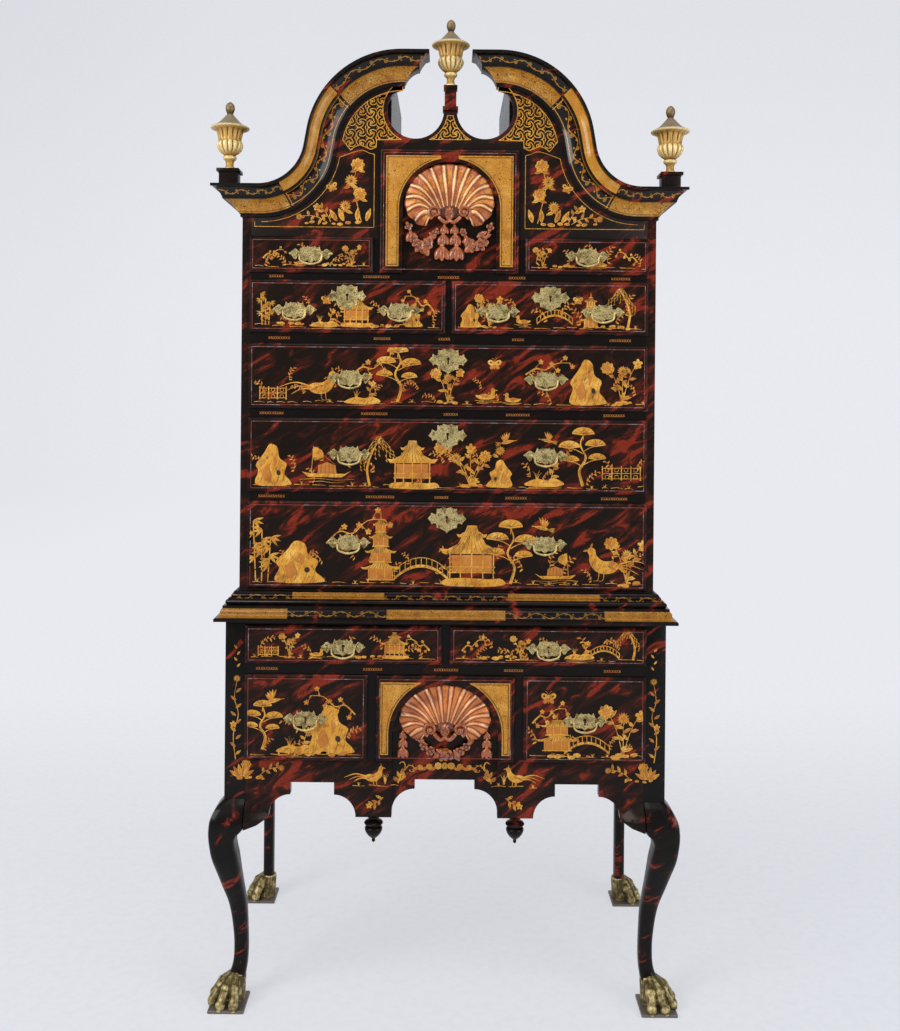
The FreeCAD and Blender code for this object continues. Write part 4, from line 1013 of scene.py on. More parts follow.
def sawn_plate(half, width, height):
    """Thin plate at the origin with a raised field inside a chamfered edge."""
    points = [(a * width, b * height) for a, b in half]
    points += [(-x, z) for x, z in reversed(points[1:-1])]
    obj = shaped_face([(x, 0, z) for x, z in points])
    edit(obj)
    bpy.ops.mesh.normals_make_consistent(inside=False)
    pull(0, -PLATE_T, 0)
    for inset, back in ((0.0011, -0.0003), (0.0008, 0.0004)):
        bpy.ops.mesh.inset(thickness=inset, depth=0.0)
        bpy.ops.transform.translate(value=(0, back, 0))
    leave()
    outward(obj)
    return ease(obj, 0.0002, 1)


def knob(x, y, z):
    """Post of a pull: a collar, a waist and a round head."""
    profile = [(0.0052, 0), (0.0052, 0.0012), (0.0036, 0.002), (0.0030, 0.0032),
               (0.0041, 0.0046), (0.0045, 0.0066), (0.0041, 0.0084), (0.0028, 0.0098),
               (0.0008, 0.0104)]
    post = turned(profile, 0, 0, 0, 16)
    return placed(post, x, y, z, 90, "X")


def nail(x, y, z):
    """Small round head of a brass pin."""
    head = turned([(0.0016, 0), (0.0014, 0.0005), (0.0007, 0.0009), (0.0002, 0.001)], 0, 0, 0, 8)
    return placed(head, x, y, z, 90, "X")


def swinging_bail():
    """Bail at the origin: pins, short arms, a bow thickest in the middle, and a bead."""
    half = [(0.0352, 0), (0.031, 0.0002), (0.0272, -0.0035), (0.0276, -0.0095),
            (0.0262, -0.0155), (0.0208, -0.0205), (0.0150, -0.0222), (0.0085, -0.0244),
            (0.004, -0.0250)]
    run = half + [(-x, z) for x, z in reversed(half)]
    thick = [0.0019, 0.0019, 0.0021, 0.0022, 0.0024, 0.0026, 0.0025, 0.0026, 0.0027]
    bow = rod([(x, 0, z) for x, z in run], thick + thick[::-1], 12)
    bead = ball(0, 0, -0.025, 0.0036, segments=14, rings=8)
    rings = [ball(s * 0.0044, 0, -0.0249, 0.0013, 0.0031, 0.0031, 12, 6) for s in (-1, 1)]
    return together([bow, bead] + rings)


def bored(obj):
    """Cuts a keyhole through a plate."""
    hole = [(0.0036 * math.sin(math.radians(a)), 0.0034 + 0.0036 * math.cos(math.radians(a)))
            for a in range(-150, 151, 20)]
    hole = hole + [(0.0020, -0.0102), (-0.0020, -0.0102)]
    cutter = cut_panel(hole, -0.004, 0.002)
    with_modifier(obj, "BOOLEAN", operation="DIFFERENCE", object=cutter)
    bpy.data.objects.remove(cutter)
    return obj


class HIGHBOY_OT_brasses(bpy.types.Operator):
    """Fit the pulls, bails and key plates"""
    bl_idname = "highboy.brasses"
    bl_label = "Brasses"

    def execute(self, context):
        back = sawn_plate(PLATE_EDGE, PLATE_HALF, PLATE_TOP)
        locked = bored(sawn_plate(PLATE_EDGE, PLATE_HALF, PLATE_TOP))
        post = knob(0, 0, 0)
        pin = nail(0, 0, 0)
        key = bored(sawn_plate(KEY_EDGE, KEY_HALF, KEY_TOP))
        bow = swinging_bail()
        for name in DRAWERS:
            face = case_front(name) - SEAT - LIP_T
            parts = []
            for spot, bail in pulls(name):
                plate = locked if name.startswith("stand") else back
                parts.append(placed(twin(plate), spot.x, face, spot.z))
                for side in (-1, 1):
                    parts.append(placed(twin(post), spot.x + side * POST_X, face - PLATE_T,
                                        spot.z))
                    parts.append(placed(twin(pin), spot.x + side * PIN_X,
                                        face - PLATE_T, spot.z + 0.001))
                settle(placed(twin(bow), *spot), bail + "_bow", bail, "brass",
                       (bail,), 60)
            height = key_height(name)
            middle = sum(opening(name)[:2]) / 2
            if height:
                parts.append(placed(twin(key), middle, face, height))
                for x, z in KEY_PINS:
                    parts.append(placed(twin(pin), middle + x, face - PLATE_T, height + z))
            if parts:
                settle(together(parts), name + "_brasses", name, "plate", (), 40)
                z = height or pulls(name)[0][0].z
                y = case_front(name) + FRONT_T
                lock = board(middle - LOCK_HALF, middle + LOCK_HALF, y, y + LOCK_T,
                             z - LOCK_HIGH, z + LOCK_HIGH)
                settle(lock, name + "_lock", name, "iron")
        for pattern in (back, locked, post, pin, key, bow):
            bpy.data.objects.remove(pattern)
        return {"FINISHED"}


# --- case pieces --------------------------------------------------------------------------
TYMPANUM_T, ROOF_T = 0.022, 0.008
WALL_HALF, WALL_T = 0.147, 0.010
HOOD_FLOOR, HOOD_FLOOR_T, HOOD_SHORT = 2.130, 0.012, 0.015


def swan_neck():
    """Left swan neck: the profile is extruded, spun round both bends and mitred."""
    profile = [(0, 0), (0.003, 0), (0.0046, 0.0012), (0.005, 0.003), (0.0046, 0.0055),
               (0.0048, 0.007), (0.0068, 0.0082), (0.0092, 0.0128), (0.0128, 0.0185),
               (0.0175, 0.0245), (0.0235, 0.0305), (0.0302, 0.0355), (0.037, 0.039),
               (0.0375, 0.0396), (0.0415, 0.0396), (0.042, 0.0402), (0.042, 0.0432),
               (0.0428, 0.0438), (0.0434, 0.0465), (0.0448, 0.0505), (0.0472, 0.0550),
               (0.0505, 0.0595), (0.0545, 0.0630), (0.0585, 0.0646), (0.0655, 0.0650),
               (CROWN_P, 0.0656), (CROWN_P, 0.0715), (0.0655, CROWN_H), (0, CROWN_H)]
    reach = CROWN_P + 0.005
    start = -UPPER_HALF - reach
    obj = shaped_face([(start, UPPER_FRONT - p, CROWN_Z + h) for p, h in profile])
    edit(obj)
    pull(-NECK_START - start, 0, 0)
    bpy.ops.mesh.spin(steps=36, angle=STEEP, center=(HOLLOW[0], UPPER_FRONT, HOLLOW[1]),
                      axis=(0, 1, 0))
    pull(math.cos(STEEP) * NECK_RUN, 0, math.sin(STEEP) * NECK_RUN)
    bpy.ops.mesh.spin(steps=34, angle=STEEP, center=(DOME[0], UPPER_FRONT, DOME[1]),
                      axis=(0, -1, 0))
    pull(reach, 0, 0)
    leave()
    outward(obj)
    for x, way in ((-UPPER_HALF, 1), (-SCROLL_END, -1)):
        edit(obj)
        bpy.ops.mesh.bisect(plane_co=(x, UPPER_FRONT, CROWN_Z), plane_no=(way, -1, 0),
                            use_fill=True, clear_inner=True)
        leave()
    return obj


def mark_run(obj):
    """Stores how far along, up and out each point of a swan neck lies."""
    hollow, dome = HOLLOW, DOME
    bend = NECK_R * STEEP
    run = obj.data.attributes.new("run", "FLOAT_VECTOR", "POINT")
    for vertex, value in zip(obj.data.vertices, run.data):
        x, z = -abs(vertex.co.x), vertex.co.z
        out = UPPER_FRONT - vertex.co.y
        a = math.atan2(x - hollow[0], hollow[1] - z)
        b = math.atan2(dome[0] - x, z - dome[1])
        if x <= hollow[0]:
            value.vector = (x - hollow[0], z - CROWN_Z, out)
        elif a <= STEEP + 0.001 and z < hollow[1]:
            value.vector = (NECK_R * a, NECK_R - math.hypot(x - hollow[0], z - hollow[1]), out)
        elif x >= dome[0]:
            value.vector = (bend + NECK_RUN + SCROLL_R * STEEP + x - dome[0], z - SCROLL_Z, out)
        elif b <= STEEP + 0.001:
            value.vector = (bend + NECK_RUN + SCROLL_R * (STEEP - b),
                            math.hypot(x - dome[0], z - dome[1]) - SCROLL_R, out)
        else:
            foot = (hollow[0] + NECK_R * math.sin(STEEP), hollow[1] - NECK_R * math.cos(STEEP))
            dx, dz = x - foot[0], z - foot[1]
            value.vector = (bend + dx * math.cos(STEEP) + dz * math.sin(STEEP),
                            dz * math.cos(STEEP) - dx * math.sin(STEEP), out)
    return obj


class HIGHBOY_OT_pediment(bpy.types.Operator):
    """Build the swan necks, tympanum and hood"""
    bl_idname = "highboy.pediment"
    bl_label = "Pediment"

    def execute(self, context):
        left = swan_neck()
        right = outward(mirrored(left))
        for obj, side in ((left, "left"), (right, "right")):
            mark_run(obj)
            settle(obj, "swan_neck_" + side, CASE, "crown", ("crown_" + side,), 30)
        y0, y1 = UPPER_FRONT + TYMPANUM_T, BACK
        face = cut_panel(tympanum_outline(), UPPER_FRONT, y0, 0.0008)
        settle(face, "tympanum_board", CASE, "tympanum", ("tympanum",))
        wall = -WALL_HALF
        n0, n1 = CROWN_H - ROOF_T, CROWN_H
        inner = [p for p in neck_line(n0, 24) if p[0] < wall]
        outer = [p for p in neck_line(n1, 24) if p[0] < wall]
        top = SCROLL_Z - SCROLL_R
        ends = [(wall, top + math.sqrt((SCROLL_R + n) ** 2 - (wall + SCROLL_END) ** 2))
                for n in (n0, n1)]
        line = ([(-BOARD_HALF, CROWN_Z + n0)] + inner + ends + outer[::-1]
                + [(-BOARD_HALF, CROWN_Z + n1)])
        roof = cut_panel(line, y0, y1)
        y1 -= HOOD_SHORT
        side = board(wall - WALL_T, wall, y0, y1, HOOD_FLOOR, ends[0][1] - 0.002, 0.0)
        half = together([roof, side])
        other = outward(mirrored(half))
        floor = board(wall - WALL_T, WALL_HALF + WALL_T, y0, y1, HOOD_FLOOR - HOOD_FLOOR_T,
                      HOOD_FLOOR, 0.0)
        settle(together([half, other, floor]), "hood_boards", CASE, "black",
               ("hood",), 25)
        return {"FINISHED"}


def eased_copy(node, edge):
    """A clean copy of a CAD node with eased edges."""
    obj = frame["nodes"][node].copy()
    obj.data = obj.data.copy()
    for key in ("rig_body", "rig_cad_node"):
        if key in obj:
            del obj[key]
    obj.parent = None
    bpy.context.scene.collection.objects.link(obj)
    only(obj)
    edit(obj)
    bpy.ops.mesh.remove_doubles(threshold=0.00001)
    bpy.ops.mesh.dissolve_limited(angle_limit=math.radians(0.6))
    leave()
    return ease(obj, edge, 2)


class HIGHBOY_OT_case(bpy.types.Operator):
    """Finish the sides, rails, apron, mouldings and backs"""
    bl_idname = "highboy.case"
    bl_label = "Case"

    def execute(self, context):
        for node, name in (("front_apron", "apron_board"), ("stand_side_left", "side_left"),
                           ("stand_side_right", "side_right"),
                           ("knee_brackets", "brackets"), ("finial_plinths", "plinths"),
                           ("waist_moulding", "waist"), ("upper_base_moulding", "base"),
                           ("crown_returns", "returns")):
            looks = "moulding" if node.endswith("_moulding") else "tortoiseshell"
            settle(eased_copy(node, 0.0007), name, CASE, looks, (node,))
        for looks, nodes in (("tortoiseshell", ("upper_side_left", "upper_side_right")),
                             ("black", ("upper_blades", "stand_blades")),
                             ("back", ("upper_back", "stand_back", "upper_bottom")),
                             ("pine", ("upper_runners", "stand_runners"))):
            for node in nodes:
                coat(frame["nodes"][node], looks)
        return {"FINISHED"}


# --- legs and paws ------------------------------------------------------------------------
PAD_H_MM = 8
PAD_H = PAD_H_MM * MM
# Leg rows in millimetres: height, outer edge past the post, inner edge inside the post's face.
LEG = ((505, 0, 52), (488, 17, 52), (462, 30.5, 52), (439, 34, 51), (427, 34, 38),
       (408, 32.8, 29.5), (361, 27, 37.5), (298, 8.5, 45), (236, -10, 52.5),
       (165, -19.6, 55.4), (118, -21, 56), (86, -18, 54.5), (60, -9, 51))
# Toe rows: share of the way from ankle to claw, height and radius in millimetres.
TOE = ((0.12, 66, 9.0), (0.34, 58, 11.0), (0.60, 45, 13.0), (0.78, 31, 10.5), (0.92, 18, 12.0),
       (1.04, 5.5, 4.6))
HEEL = ((0.45, PAD_H_MM - 2, 27), (0.35, 18, 26), (0.20, 40, 24), (0.05, 58, 23.5), (0.0, 67, 22.5))


def leg_row(z):
    """Outer and inner edge of the leg at a height, smooth between its rows."""
    i = 0
    while i < len(LEG) - 2 and z < LEG[i + 1][0]:
        i += 1
    a, b = LEG[i], LEG[i + 1]
    before, after = LEG[max(0, i - 1)], LEG[min(len(LEG) - 1, i + 2)]
    t = (z - a[0]) / (b[0] - a[0])
    edges = []
    for k in (1, 2):
        m0 = (b[k] - before[k]) / (b[0] - before[0]) * (b[0] - a[0])
        m1 = (after[k] - a[k]) / (after[0] - a[0]) * (b[0] - a[0])
        edges.append((2 * t ** 3 - 3 * t ** 2 + 1) * a[k] + (t ** 3 - 2 * t ** 2 + t) * m0
                     + (3 * t ** 2 - 2 * t ** 3) * b[k] + (t ** 3 - t ** 2) * m1)
    return edges


def front_span(z):
    """Sides of the right front leg at a height: x0, x1, y0, y1 in millimetres."""
    outer, inner = leg_row(z)
    x, y = LOWER_HALF / MM, FRONT / MM
    return x - inner, x + outer, y - outer, y + inner


def rear_span(z):
    """Sides of the right rear leg at a height, in millimetres."""
    outer, inner = leg_row(z)
    x, y = LOWER_HALF / MM, BACK / MM
    if z < 465:
        inner = min(inner, 33)
    depth = max(40, 52 - 0.1 * (505 - z))
    return x - inner, x + 0.8 * max(outer, -3), y - depth, y


def leg(span, sides=40, rows=56):
    """Knee and shin: a disc is extruded down and each ring shaped to a soft square."""
    clear()
    top, foot = LEG[0][0], LEG[-1][0]
    bpy.ops.mesh.primitive_circle_add(vertices=sides, radius=1, fill_type="NGON",
                                      location=(0, 0, top))
    obj = bpy.context.object
    edit(obj)
    step = (foot - top) / rows
    for _ in range(rows):
        pull(0, 0, step)
    leave()
    bpy.ops.object.transform_apply(location=True, rotation=False, scale=False)
    for vertex in obj.data.vertices:
        z = vertex.co.z
        x0, x1, y0, y1 = span(z)
        power = 3.0 + 7.0 * max(0.0, min(1.0, (z - 330) / 140)) ** 1.5
        a = math.atan2(vertex.co.y, vertex.co.x)
        c, s = math.cos(a), math.sin(a)
        r = 1 / (abs(c) ** power + abs(s) ** power) ** (1 / power)
        vertex.co = (((x0 + x1) / 2 + r * c * (x1 - x0) / 2) * MM,
                     ((y0 + y1) / 2 + r * s * (y1 - y0) / 2) * MM, z * MM)
    return outward(obj)


def paw(span, x, y, heading, reach):
    """Four-toed paw: toes that fan from under the shin, knuckles and heel, in one skin."""
    x0, x1, y0, y1 = span(LEG[-1][0])
    ankle = Vector((x0 + x1, y0 + y1, 0)) * MM / 2
    spot = Vector((x, y, 0))

    def row(end, share, up):
        return ankle.lerp(end, share) + Vector((0, 0, up * MM))

    parts = [rod([row(spot, share, up) for share, up, r in HEEL],
                 [r * MM for _, _, r in HEEL], 28)]
    for turn in (-62, -21, 21, 62):
        a = math.radians(heading + turn)
        claw = spot + Vector((math.cos(a), math.sin(a), 0)) * reach
        parts.append(rod([row(claw, share, up) for share, up, r in TOE],
                         [r * MM for _, _, r in TOE], 16))
        for share, up, r in (TOE[2], TOE[4]):
            parts.append(ball(*row(claw, share, up), r * 1.06 * MM, segments=14, rings=8))
    obj = together(parts)
    with_modifier(obj, "REMESH", mode="VOXEL", voxel_size=0.0019)
    return with_modifier(obj, "SMOOTH", factor=0.5, iterations=3)


class HIGHBOY_OT_legs(bpy.types.Operator):
    """Carve the four legs with their paws and pads"""
    bl_idname = "highboy.legs"
    bl_label = "Legs"

    def execute(self, context):
        for end, span, pad, spot, heading, reach in (
                ("front", front_span, (0.480, 0.568, FRONT - 0.038, FRONT + 0.050),
                 (0.520, FRONT + 0.010), -45, 0.050),
                ("rear", rear_span, (0.496, 0.584, BACK - 0.071, BACK + 0.015),
                 (0.534, BACK - 0.028), 0, 0.0435)):
            y = FRONT if end == "front" else BACK - POST
            post = board(LOWER_HALF - POST, LOWER_HALF, y, y + POST, KNEE_TOP - 0.001,
                         LOWER_TOP, 0.0008)
            shin = together([leg(span), post])
            foot = paw(span, *spot, heading, reach)
            low = board(*pad, 0.0, PAD_H, 0.0025, 3)
            for side, pieces in (("right", (shin, foot, low)),
                                 ("left", [mirrored(p) for p in (shin, foot, low)])):
                a, b, c = pieces
                node = end + "_leg_" + side
                settle(a, node + "_shin", CASE, "leg", (node,), 40)
                settle(b, node + "_paw", CASE, "paw", (), 60)
                settle(c, node + "_pad", CASE, "iron")
        return {"FINISHED"}


# --- finials ------------------------------------------------------------------------------
# Rings as radius and height in millimetres.
URN = [(15, 0), (15, 3), (12, 5), (10, 9), (9.3, 14), (9.8, 19), (12, 23), (16, 26),
       (16.5, 29), (16, 32), (13, 34), (14.5, 36), (22, 41), (28.5, 48), (32, 56), (32.5, 61),
       (31, 66), (28, 70), (27.5, 72), (29, 78), (31, 88), (34, 96), (40, 99), (46.6, 100.5),
       (47.4, 102), (46.5, 103.5), (39, 107), (31, 111.5), (24.5, 117), (18.5, 123.5), (12.5, 130),
       (8.2, 135), (7, 137.5), (9, 141), (11, 147), (11.4, 152), (10.2, 158), (7, 162.5),
       (3, 165.5), (0.8, 166)]
DROP = [(14, 0), (14, -4), (6.5, -6), (6, -9), (15, -11), (21, -13), (23.4, -16.5), (21.5, -20),
        (15.5, -22), (15.5, -23.5), (19.5, -25.5), (21.8, -29), (21.4, -34), (18.4, -41),
        (13, -48), (6.5, -53.5), (3.4, -56.5), (4.4, -59), (4.2, -62), (1.5, -65)]


# Heights where an urn's lid and its bud begin, and the place of the drops.
LID_FROM, BUD_FROM = 0.1015, 0.1335
DROP_X, DROP_IN = 0.1735, 0.011


def urn_hollow(h):
    """Depth of the hollows between an urn's lobes, and of the flutes above them."""
    if 0.036 < h < 0.071:
        return 0.0052 * math.sin(math.pi * (h - 0.036) / 0.035) ** 0.5
    if 0.072 < h < 0.098:
        return 0.0042 * math.sin(math.pi * (h - 0.072) / 0.026) ** 0.5
    return 0.0


class HIGHBOY_OT_finials(bpy.types.Operator):
    """Turn and carve the three urns and the two drops"""
    bl_idname = "highboy.finials"
    bl_label = "Finials"

    def execute(self, context):
        lobes = settings().carving.lobes
        profile = [(r * MM, h * MM) for r, h in URN]
        for node in ("finial_left", "finial_centre", "finial_right"):
            low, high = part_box(node)
            x, y = (low.x + high.x) / 2, (low.y + high.y) / 2
            urn = turned(profile, x, y, low.z, lobes * 8, (lobes, urn_hollow))
            settle(urn, node + "_urn", CASE, "urn lid bud", (node,), 50)
            for face in urn.data.polygons:
                up = face.center.z - low.z
                face.material_index = (up > LID_FROM) + (up > BUD_FROM)
        profile = [(r * MM, h * MM) for r, h in DROP]
        drops = [turned(profile, s * DROP_X, FRONT + DROP_IN, corner("drop_finials", 1, 2), 40)
                 for s in (-1, 1)]
        settle(together(drops), "apron_drops", CASE, "black", ("drop_finials",), 45)
        return {"FINISHED"}


# --- carved shells ------------------------------------------------------------------------
# Rim of a fan shell in millimetres from its heart: angle off upright and radius.
RIM = ((0, 112), (25, 115), (50, 118), (74, 114), (90, 107), (107, 91), (124, 71))
FAN = math.radians(124)


def rim_radius(a):
    """Radius of a shell's rim, in millimetres, at an angle off upright."""
    a = math.degrees(abs(a))
    for (a0, r0), (a1, r1) in zip(RIM, RIM[1:]):
        if a <= a1:
            t = (a - a0) / (a1 - a0)
            return r0 + (r1 - r0) * t * t * (3 - 2 * t)
    return RIM[-1][1]


def fan_shell(x, y, z, squash, ribs):
    """Fan of hollow flutes between thin ridges, from a narrow heart to a scalloped rim."""
    clear()
    across, steps = ribs * 10, 16
    bpy.ops.mesh.primitive_grid_add(x_subdivisions=across, y_subdivisions=steps, size=2)
    obj = bpy.context.object
    crests = []
    for vertex in obj.data.vertices:
        u, v = vertex.co.x, (vertex.co.y + 1) / 2
        share = (u + 1) / 2 * ribs % 1.0
        flute = math.sin(math.pi * share) ** 0.55
        a = u * FAN
        tip = rim_radius(a) * (1 - 0.045 + 0.045 * flute)
        heart = (40 * math.sin(a * 0.82), 22 * math.cos(a * 0.82) - 14)
        end = (tip * math.sin(a), tip * math.cos(a))
        bow = 15 * abs(math.sin(a)) * math.sin(math.pi * v) * (1 if abs(a) < 1.9 else 0.6)
        px = heart[0] + (end[0] - heart[0]) * v
        pz = heart[1] + (end[1] - heart[1]) * v + bow
        swell = 7 + 17 * math.sin(math.pi * min(1.0, v * 0.72 + 0.06)) - 3 * v
        lift = swell - 5.2 * flute * min(1.0, 0.2 + v)
        if v > 0.999:
            lift -= 1.6
        vertex.co = (x + px * MM, y - lift * MM, z + pz * squash * MM)
        crests.append(1.0 - flute)
    crest = obj.data.attributes.new("crest", "FLOAT", "POINT")
    crest.data.foreach_set("value", crests)
    with_modifier(obj, "SOLIDIFY", thickness=0.004, offset=1.0)
    return outward(obj)


def volute(x, y, z, side, r):
    """Scroll beside the heart of a shell, with a button in its eye."""
    path, radii = [], []
    for k in range(26):
        a = -1.2 + k * 0.32
        reach = r * (1.0 - 0.028 * k)
        path.append((x + side * reach * math.cos(a), y - (0.008 + 0.0002 * k),
                     z + reach * math.sin(a)))
        radii.append(r * (0.30 - 0.004 * k))
    curl = rod(path, radii, 12)
    return together([curl, ball(x, y - 0.011, z, r * 0.36, r * 0.45, r * 0.36, 14, 8)])


def carved_flower(r, petals):
    """Open flower at the origin that faces -Y."""
    profile = [(r * 0.5, 0), (r, r * 0.30), (r * 0.96, r * 0.46), (r * 0.36, r * 0.30),
               (r * 0.30, r * 0.52), (r * 0.06, r * 0.60)]

    def notch(h):
        return r * 0.34 if r * 0.28 < h < r * 0.47 else 0.0

    bloom = turned(profile, 0, 0, 0, petals * 4, (petals, notch))
    return placed(bloom, turn=90, axis="X")


def carved_leaf(size, width):
    """Leaf at the origin: it hangs from its stalk at the top and has a middle ridge."""
    leaf = ball(0, 0, -size / 2, width / 2, width * 0.32, size / 2, 10, 8)
    for vertex in leaf.data.vertices:
        down = -vertex.co.z / size
        vertex.co.x *= 0.55 + 0.75 * math.sin(math.pi * min(1.0, down * 0.9))
        vertex.co.y -= 0.12 * width * (1 - abs(vertex.co.x) / width * 2)
    return leaf


def bellflower(x, y, z, size):
    """Hanging husk of three petals."""
    parts = [placed(carved_leaf(size, size * 0.42), 0, 0, 0, lean, "Y") for lean in (-24, 0, 24)]
    parts.append(ball(0, -0.001, 0, size * 0.16, segments=10, rings=6))
    return placed(together(parts), x, y, z)


def swag(points, y, sizes, seed):
    """Festoon of flowers and leaves along a hanging line of (x, z) points."""
    petals = settings().carving.petals
    chance = random.Random(seed)
    parts = []
    count = len(sizes)
    for i, size in enumerate(sizes):
        t = (i + 0.5) / count * (len(points) - 1)
        k = min(int(t), len(points) - 2)
        x = points[k][0] + (points[k + 1][0] - points[k][0]) * (t - k)
        z = points[k][1] + (points[k + 1][1] - points[k][1]) * (t - k)
        if i % 3 == 1:
            leaf = placed(carved_leaf(size * 2.4, size * 1.1), turn=chance.uniform(-70, 70),
                          axis="Y")
            parts.append(placed(leaf, x, y - 0.004, z + size * 0.8))
        else:
            bloom = carved_flower(size, petals if i % 2 else petals - 1)
            placed(bloom, turn=chance.uniform(0, 70), axis="Y")
            parts.append(placed(bloom, x + chance.uniform(-1, 1) * MM, y - 0.003, z))
        for side in (-1, 1):
            small = placed(carved_leaf(size * 1.5, size * 0.7),
                           turn=side * chance.uniform(40, 130), axis="Y")
            parts.append(placed(small, x + side * size * 0.5, y - 0.001,
                                z + side * chance.uniform(-0.4, 0.5) * size))
    stem = rod([(x, y - 0.002, z) for x, z in points], [0.0034] * len(points), 8)
    return together(parts + [stem])


def hanging_line(x0, z0, x1, z1, sag, steps=8):
    """Points of a line that hangs between two places."""
    return [(x0 + (x1 - x0) * k / steps,
             z0 + (z1 - z0) * k / steps - sag * 4 * (k / steps) * (1 - k / steps))
            for k in range(steps + 1)]


class HIGHBOY_OT_shells(bpy.types.Operator):
    """Carve the two fan shells with their festoons"""
    bl_idname = "highboy.shells"
    bl_label = "Shells"

    def execute(self, context):
        ribs = settings().carving.ribs
        for name, front, heart, squash, looks, slot in (
                ("upper_shell", UPPER_FRONT, 1.955, 1.0, "upper_shell", "gilding"),
                ("stand_shell", FRONT, 0.690, 0.88, "lower_shell", "varnished_carving")):
            y = front - SEAT - LIP_T + 0.018
            eye = heart - 0.007
            settle(fan_shell(0, y, heart, squash, ribs), name + "_fan", name + "_drawer",
                   looks, (name + "_carving",), 60)
            parts = []
            for side in (-1, 1):
                parts.append(volute(side * 0.036, y - 0.012, eye, side, 0.0165))
                stem = [(side * 0.026, y - 0.018, eye - 0.012),
                        (side * 0.017, y - 0.022, eye - 0.022),
                        (side * 0.008, y - 0.021, eye - 0.026), (0, y - 0.019, eye - 0.020)]
                parts.append(rod(stem, [0.0048, 0.0052, 0.0046, 0.0036], 12))
                leaf = placed(carved_leaf(0.026, 0.014), turn=side * 35, axis="Y")
                parts.append(placed(leaf, side * 0.008, y - 0.016, eye + 0.010))
            parts.append(placed(carved_leaf(0.036, 0.020), 0, y - 0.016, eye + 0.014))
            parts.append(ball(0, y - 0.005, eye + 0.008, 0.033, 0.011, 0.021, 28, 14))
            parts.append(placed(carved_flower(0.010, 6), 0, y - 0.020, eye - 0.004))
            settle(together(parts), name + "_volutes", name + "_drawer", "festoon",
                   (name + "_carving",), 60)
            if name == "upper_shell":
                hung = []
                for side in (-1, 1):
                    line = hanging_line(side * 0.106, 1.925, side * 0.030, 1.910, 0.054)
                    hung.append(swag(line, y - 0.005, [0.0105, 0.0125, 0.0145, 0.0158, 0.0165,
                                                       0.0158, 0.0142, 0.0120, 0.0095], 3 + side))
                    for down, out, size in ((1.918, 0.0125, 0.023), (1.897, 0.0150, 0.030),
                                            (1.868, 0.0180, 0.039)):
                        hung.append(bellflower(side * out, y - 0.005, down, size))
                hung.append(placed(carved_flower(0.009, 5), 0, y - 0.016, eye - 0.012))
            else:
                line = hanging_line(-0.088, 0.682, 0.088, 0.682, 0.066, 10)
                sizes = [0.0085, 0.0095, 0.0105, 0.0118, 0.013, 0.0150, 0.0150, 0.013, 0.0118,
                         0.0105, 0.0095, 0.0085]
                hung = [swag(line, y - 0.004, sizes, 11)]
                for side in (-1, 1):
                    for down, size in ((0.672, 0.019), (0.655, 0.024), (0.634, 0.028)):
                        hung.append(bellflower(side * 0.103, y - 0.004, down, size))
            settle(together(hung), name + "_festoon", name + "_drawer", "festoon",
                   (name + "_carving",), 60)
        return {"FINISHED"}


# --- raised gilding -----------------------------------------------------------------------
# Shapes are drawn in millimetres on a face that looks to the front: x to the right, z up.
# The fourth tone is a red border line with a painted highlight in lilac grey.
GOLD, RED, INK, LINE_AND_HIGHLIGHT, LACE, PANEL = range(6)
TONES = ("raised", "red_gold", "ink", "worn", "arabesque", "gold_ground")
# Levels of the gilding, with their thickness and the width of their bevel in millimetres.
LINE, MASS, OVER, INKED = 0, 1, 2, 3
LIFTS = {LINE: 0.35, MASS: 0.8, OVER: 1.15, INKED: 1.3}
INSETS = {LINE: 0.14, MASS: 0.75, OVER: 0.4, INKED: 0.1}
# Points nearer than this are one point, and shapes of less area are left out.
NEAR, SMALLEST = 0.05, 0.4


def smooth_line(points, closed, steps=5):
    """Rounded line through a few points."""
    count = len(points)
    line = []
    for i in range(count if closed else count - 1):
        if closed:
            near = [points[(i + k - 1) % count] for k in range(4)]
        else:
            near = [points[max(0, min(count - 1, i + k - 1))] for k in range(4)]
        for step in range(steps):
            t = step / steps
            line.append(tuple(0.5 * (2 * b + (c - a) * t + (2 * a - 5 * b + 4 * c - d) * t * t
                                     + (3 * b - a - 3 * c + d) * t ** 3)
                              for a, b, c, d in zip(*near)))
    return line if closed else line + [tuple(points[-1])]


def area(points):
    """Area inside an outline, below zero when its points run clockwise."""
    return sum(x0 * z1 - x1 * z0 for (x0, z0), (x1, z1) in zip(points, points[1:] + points[:1])) / 2


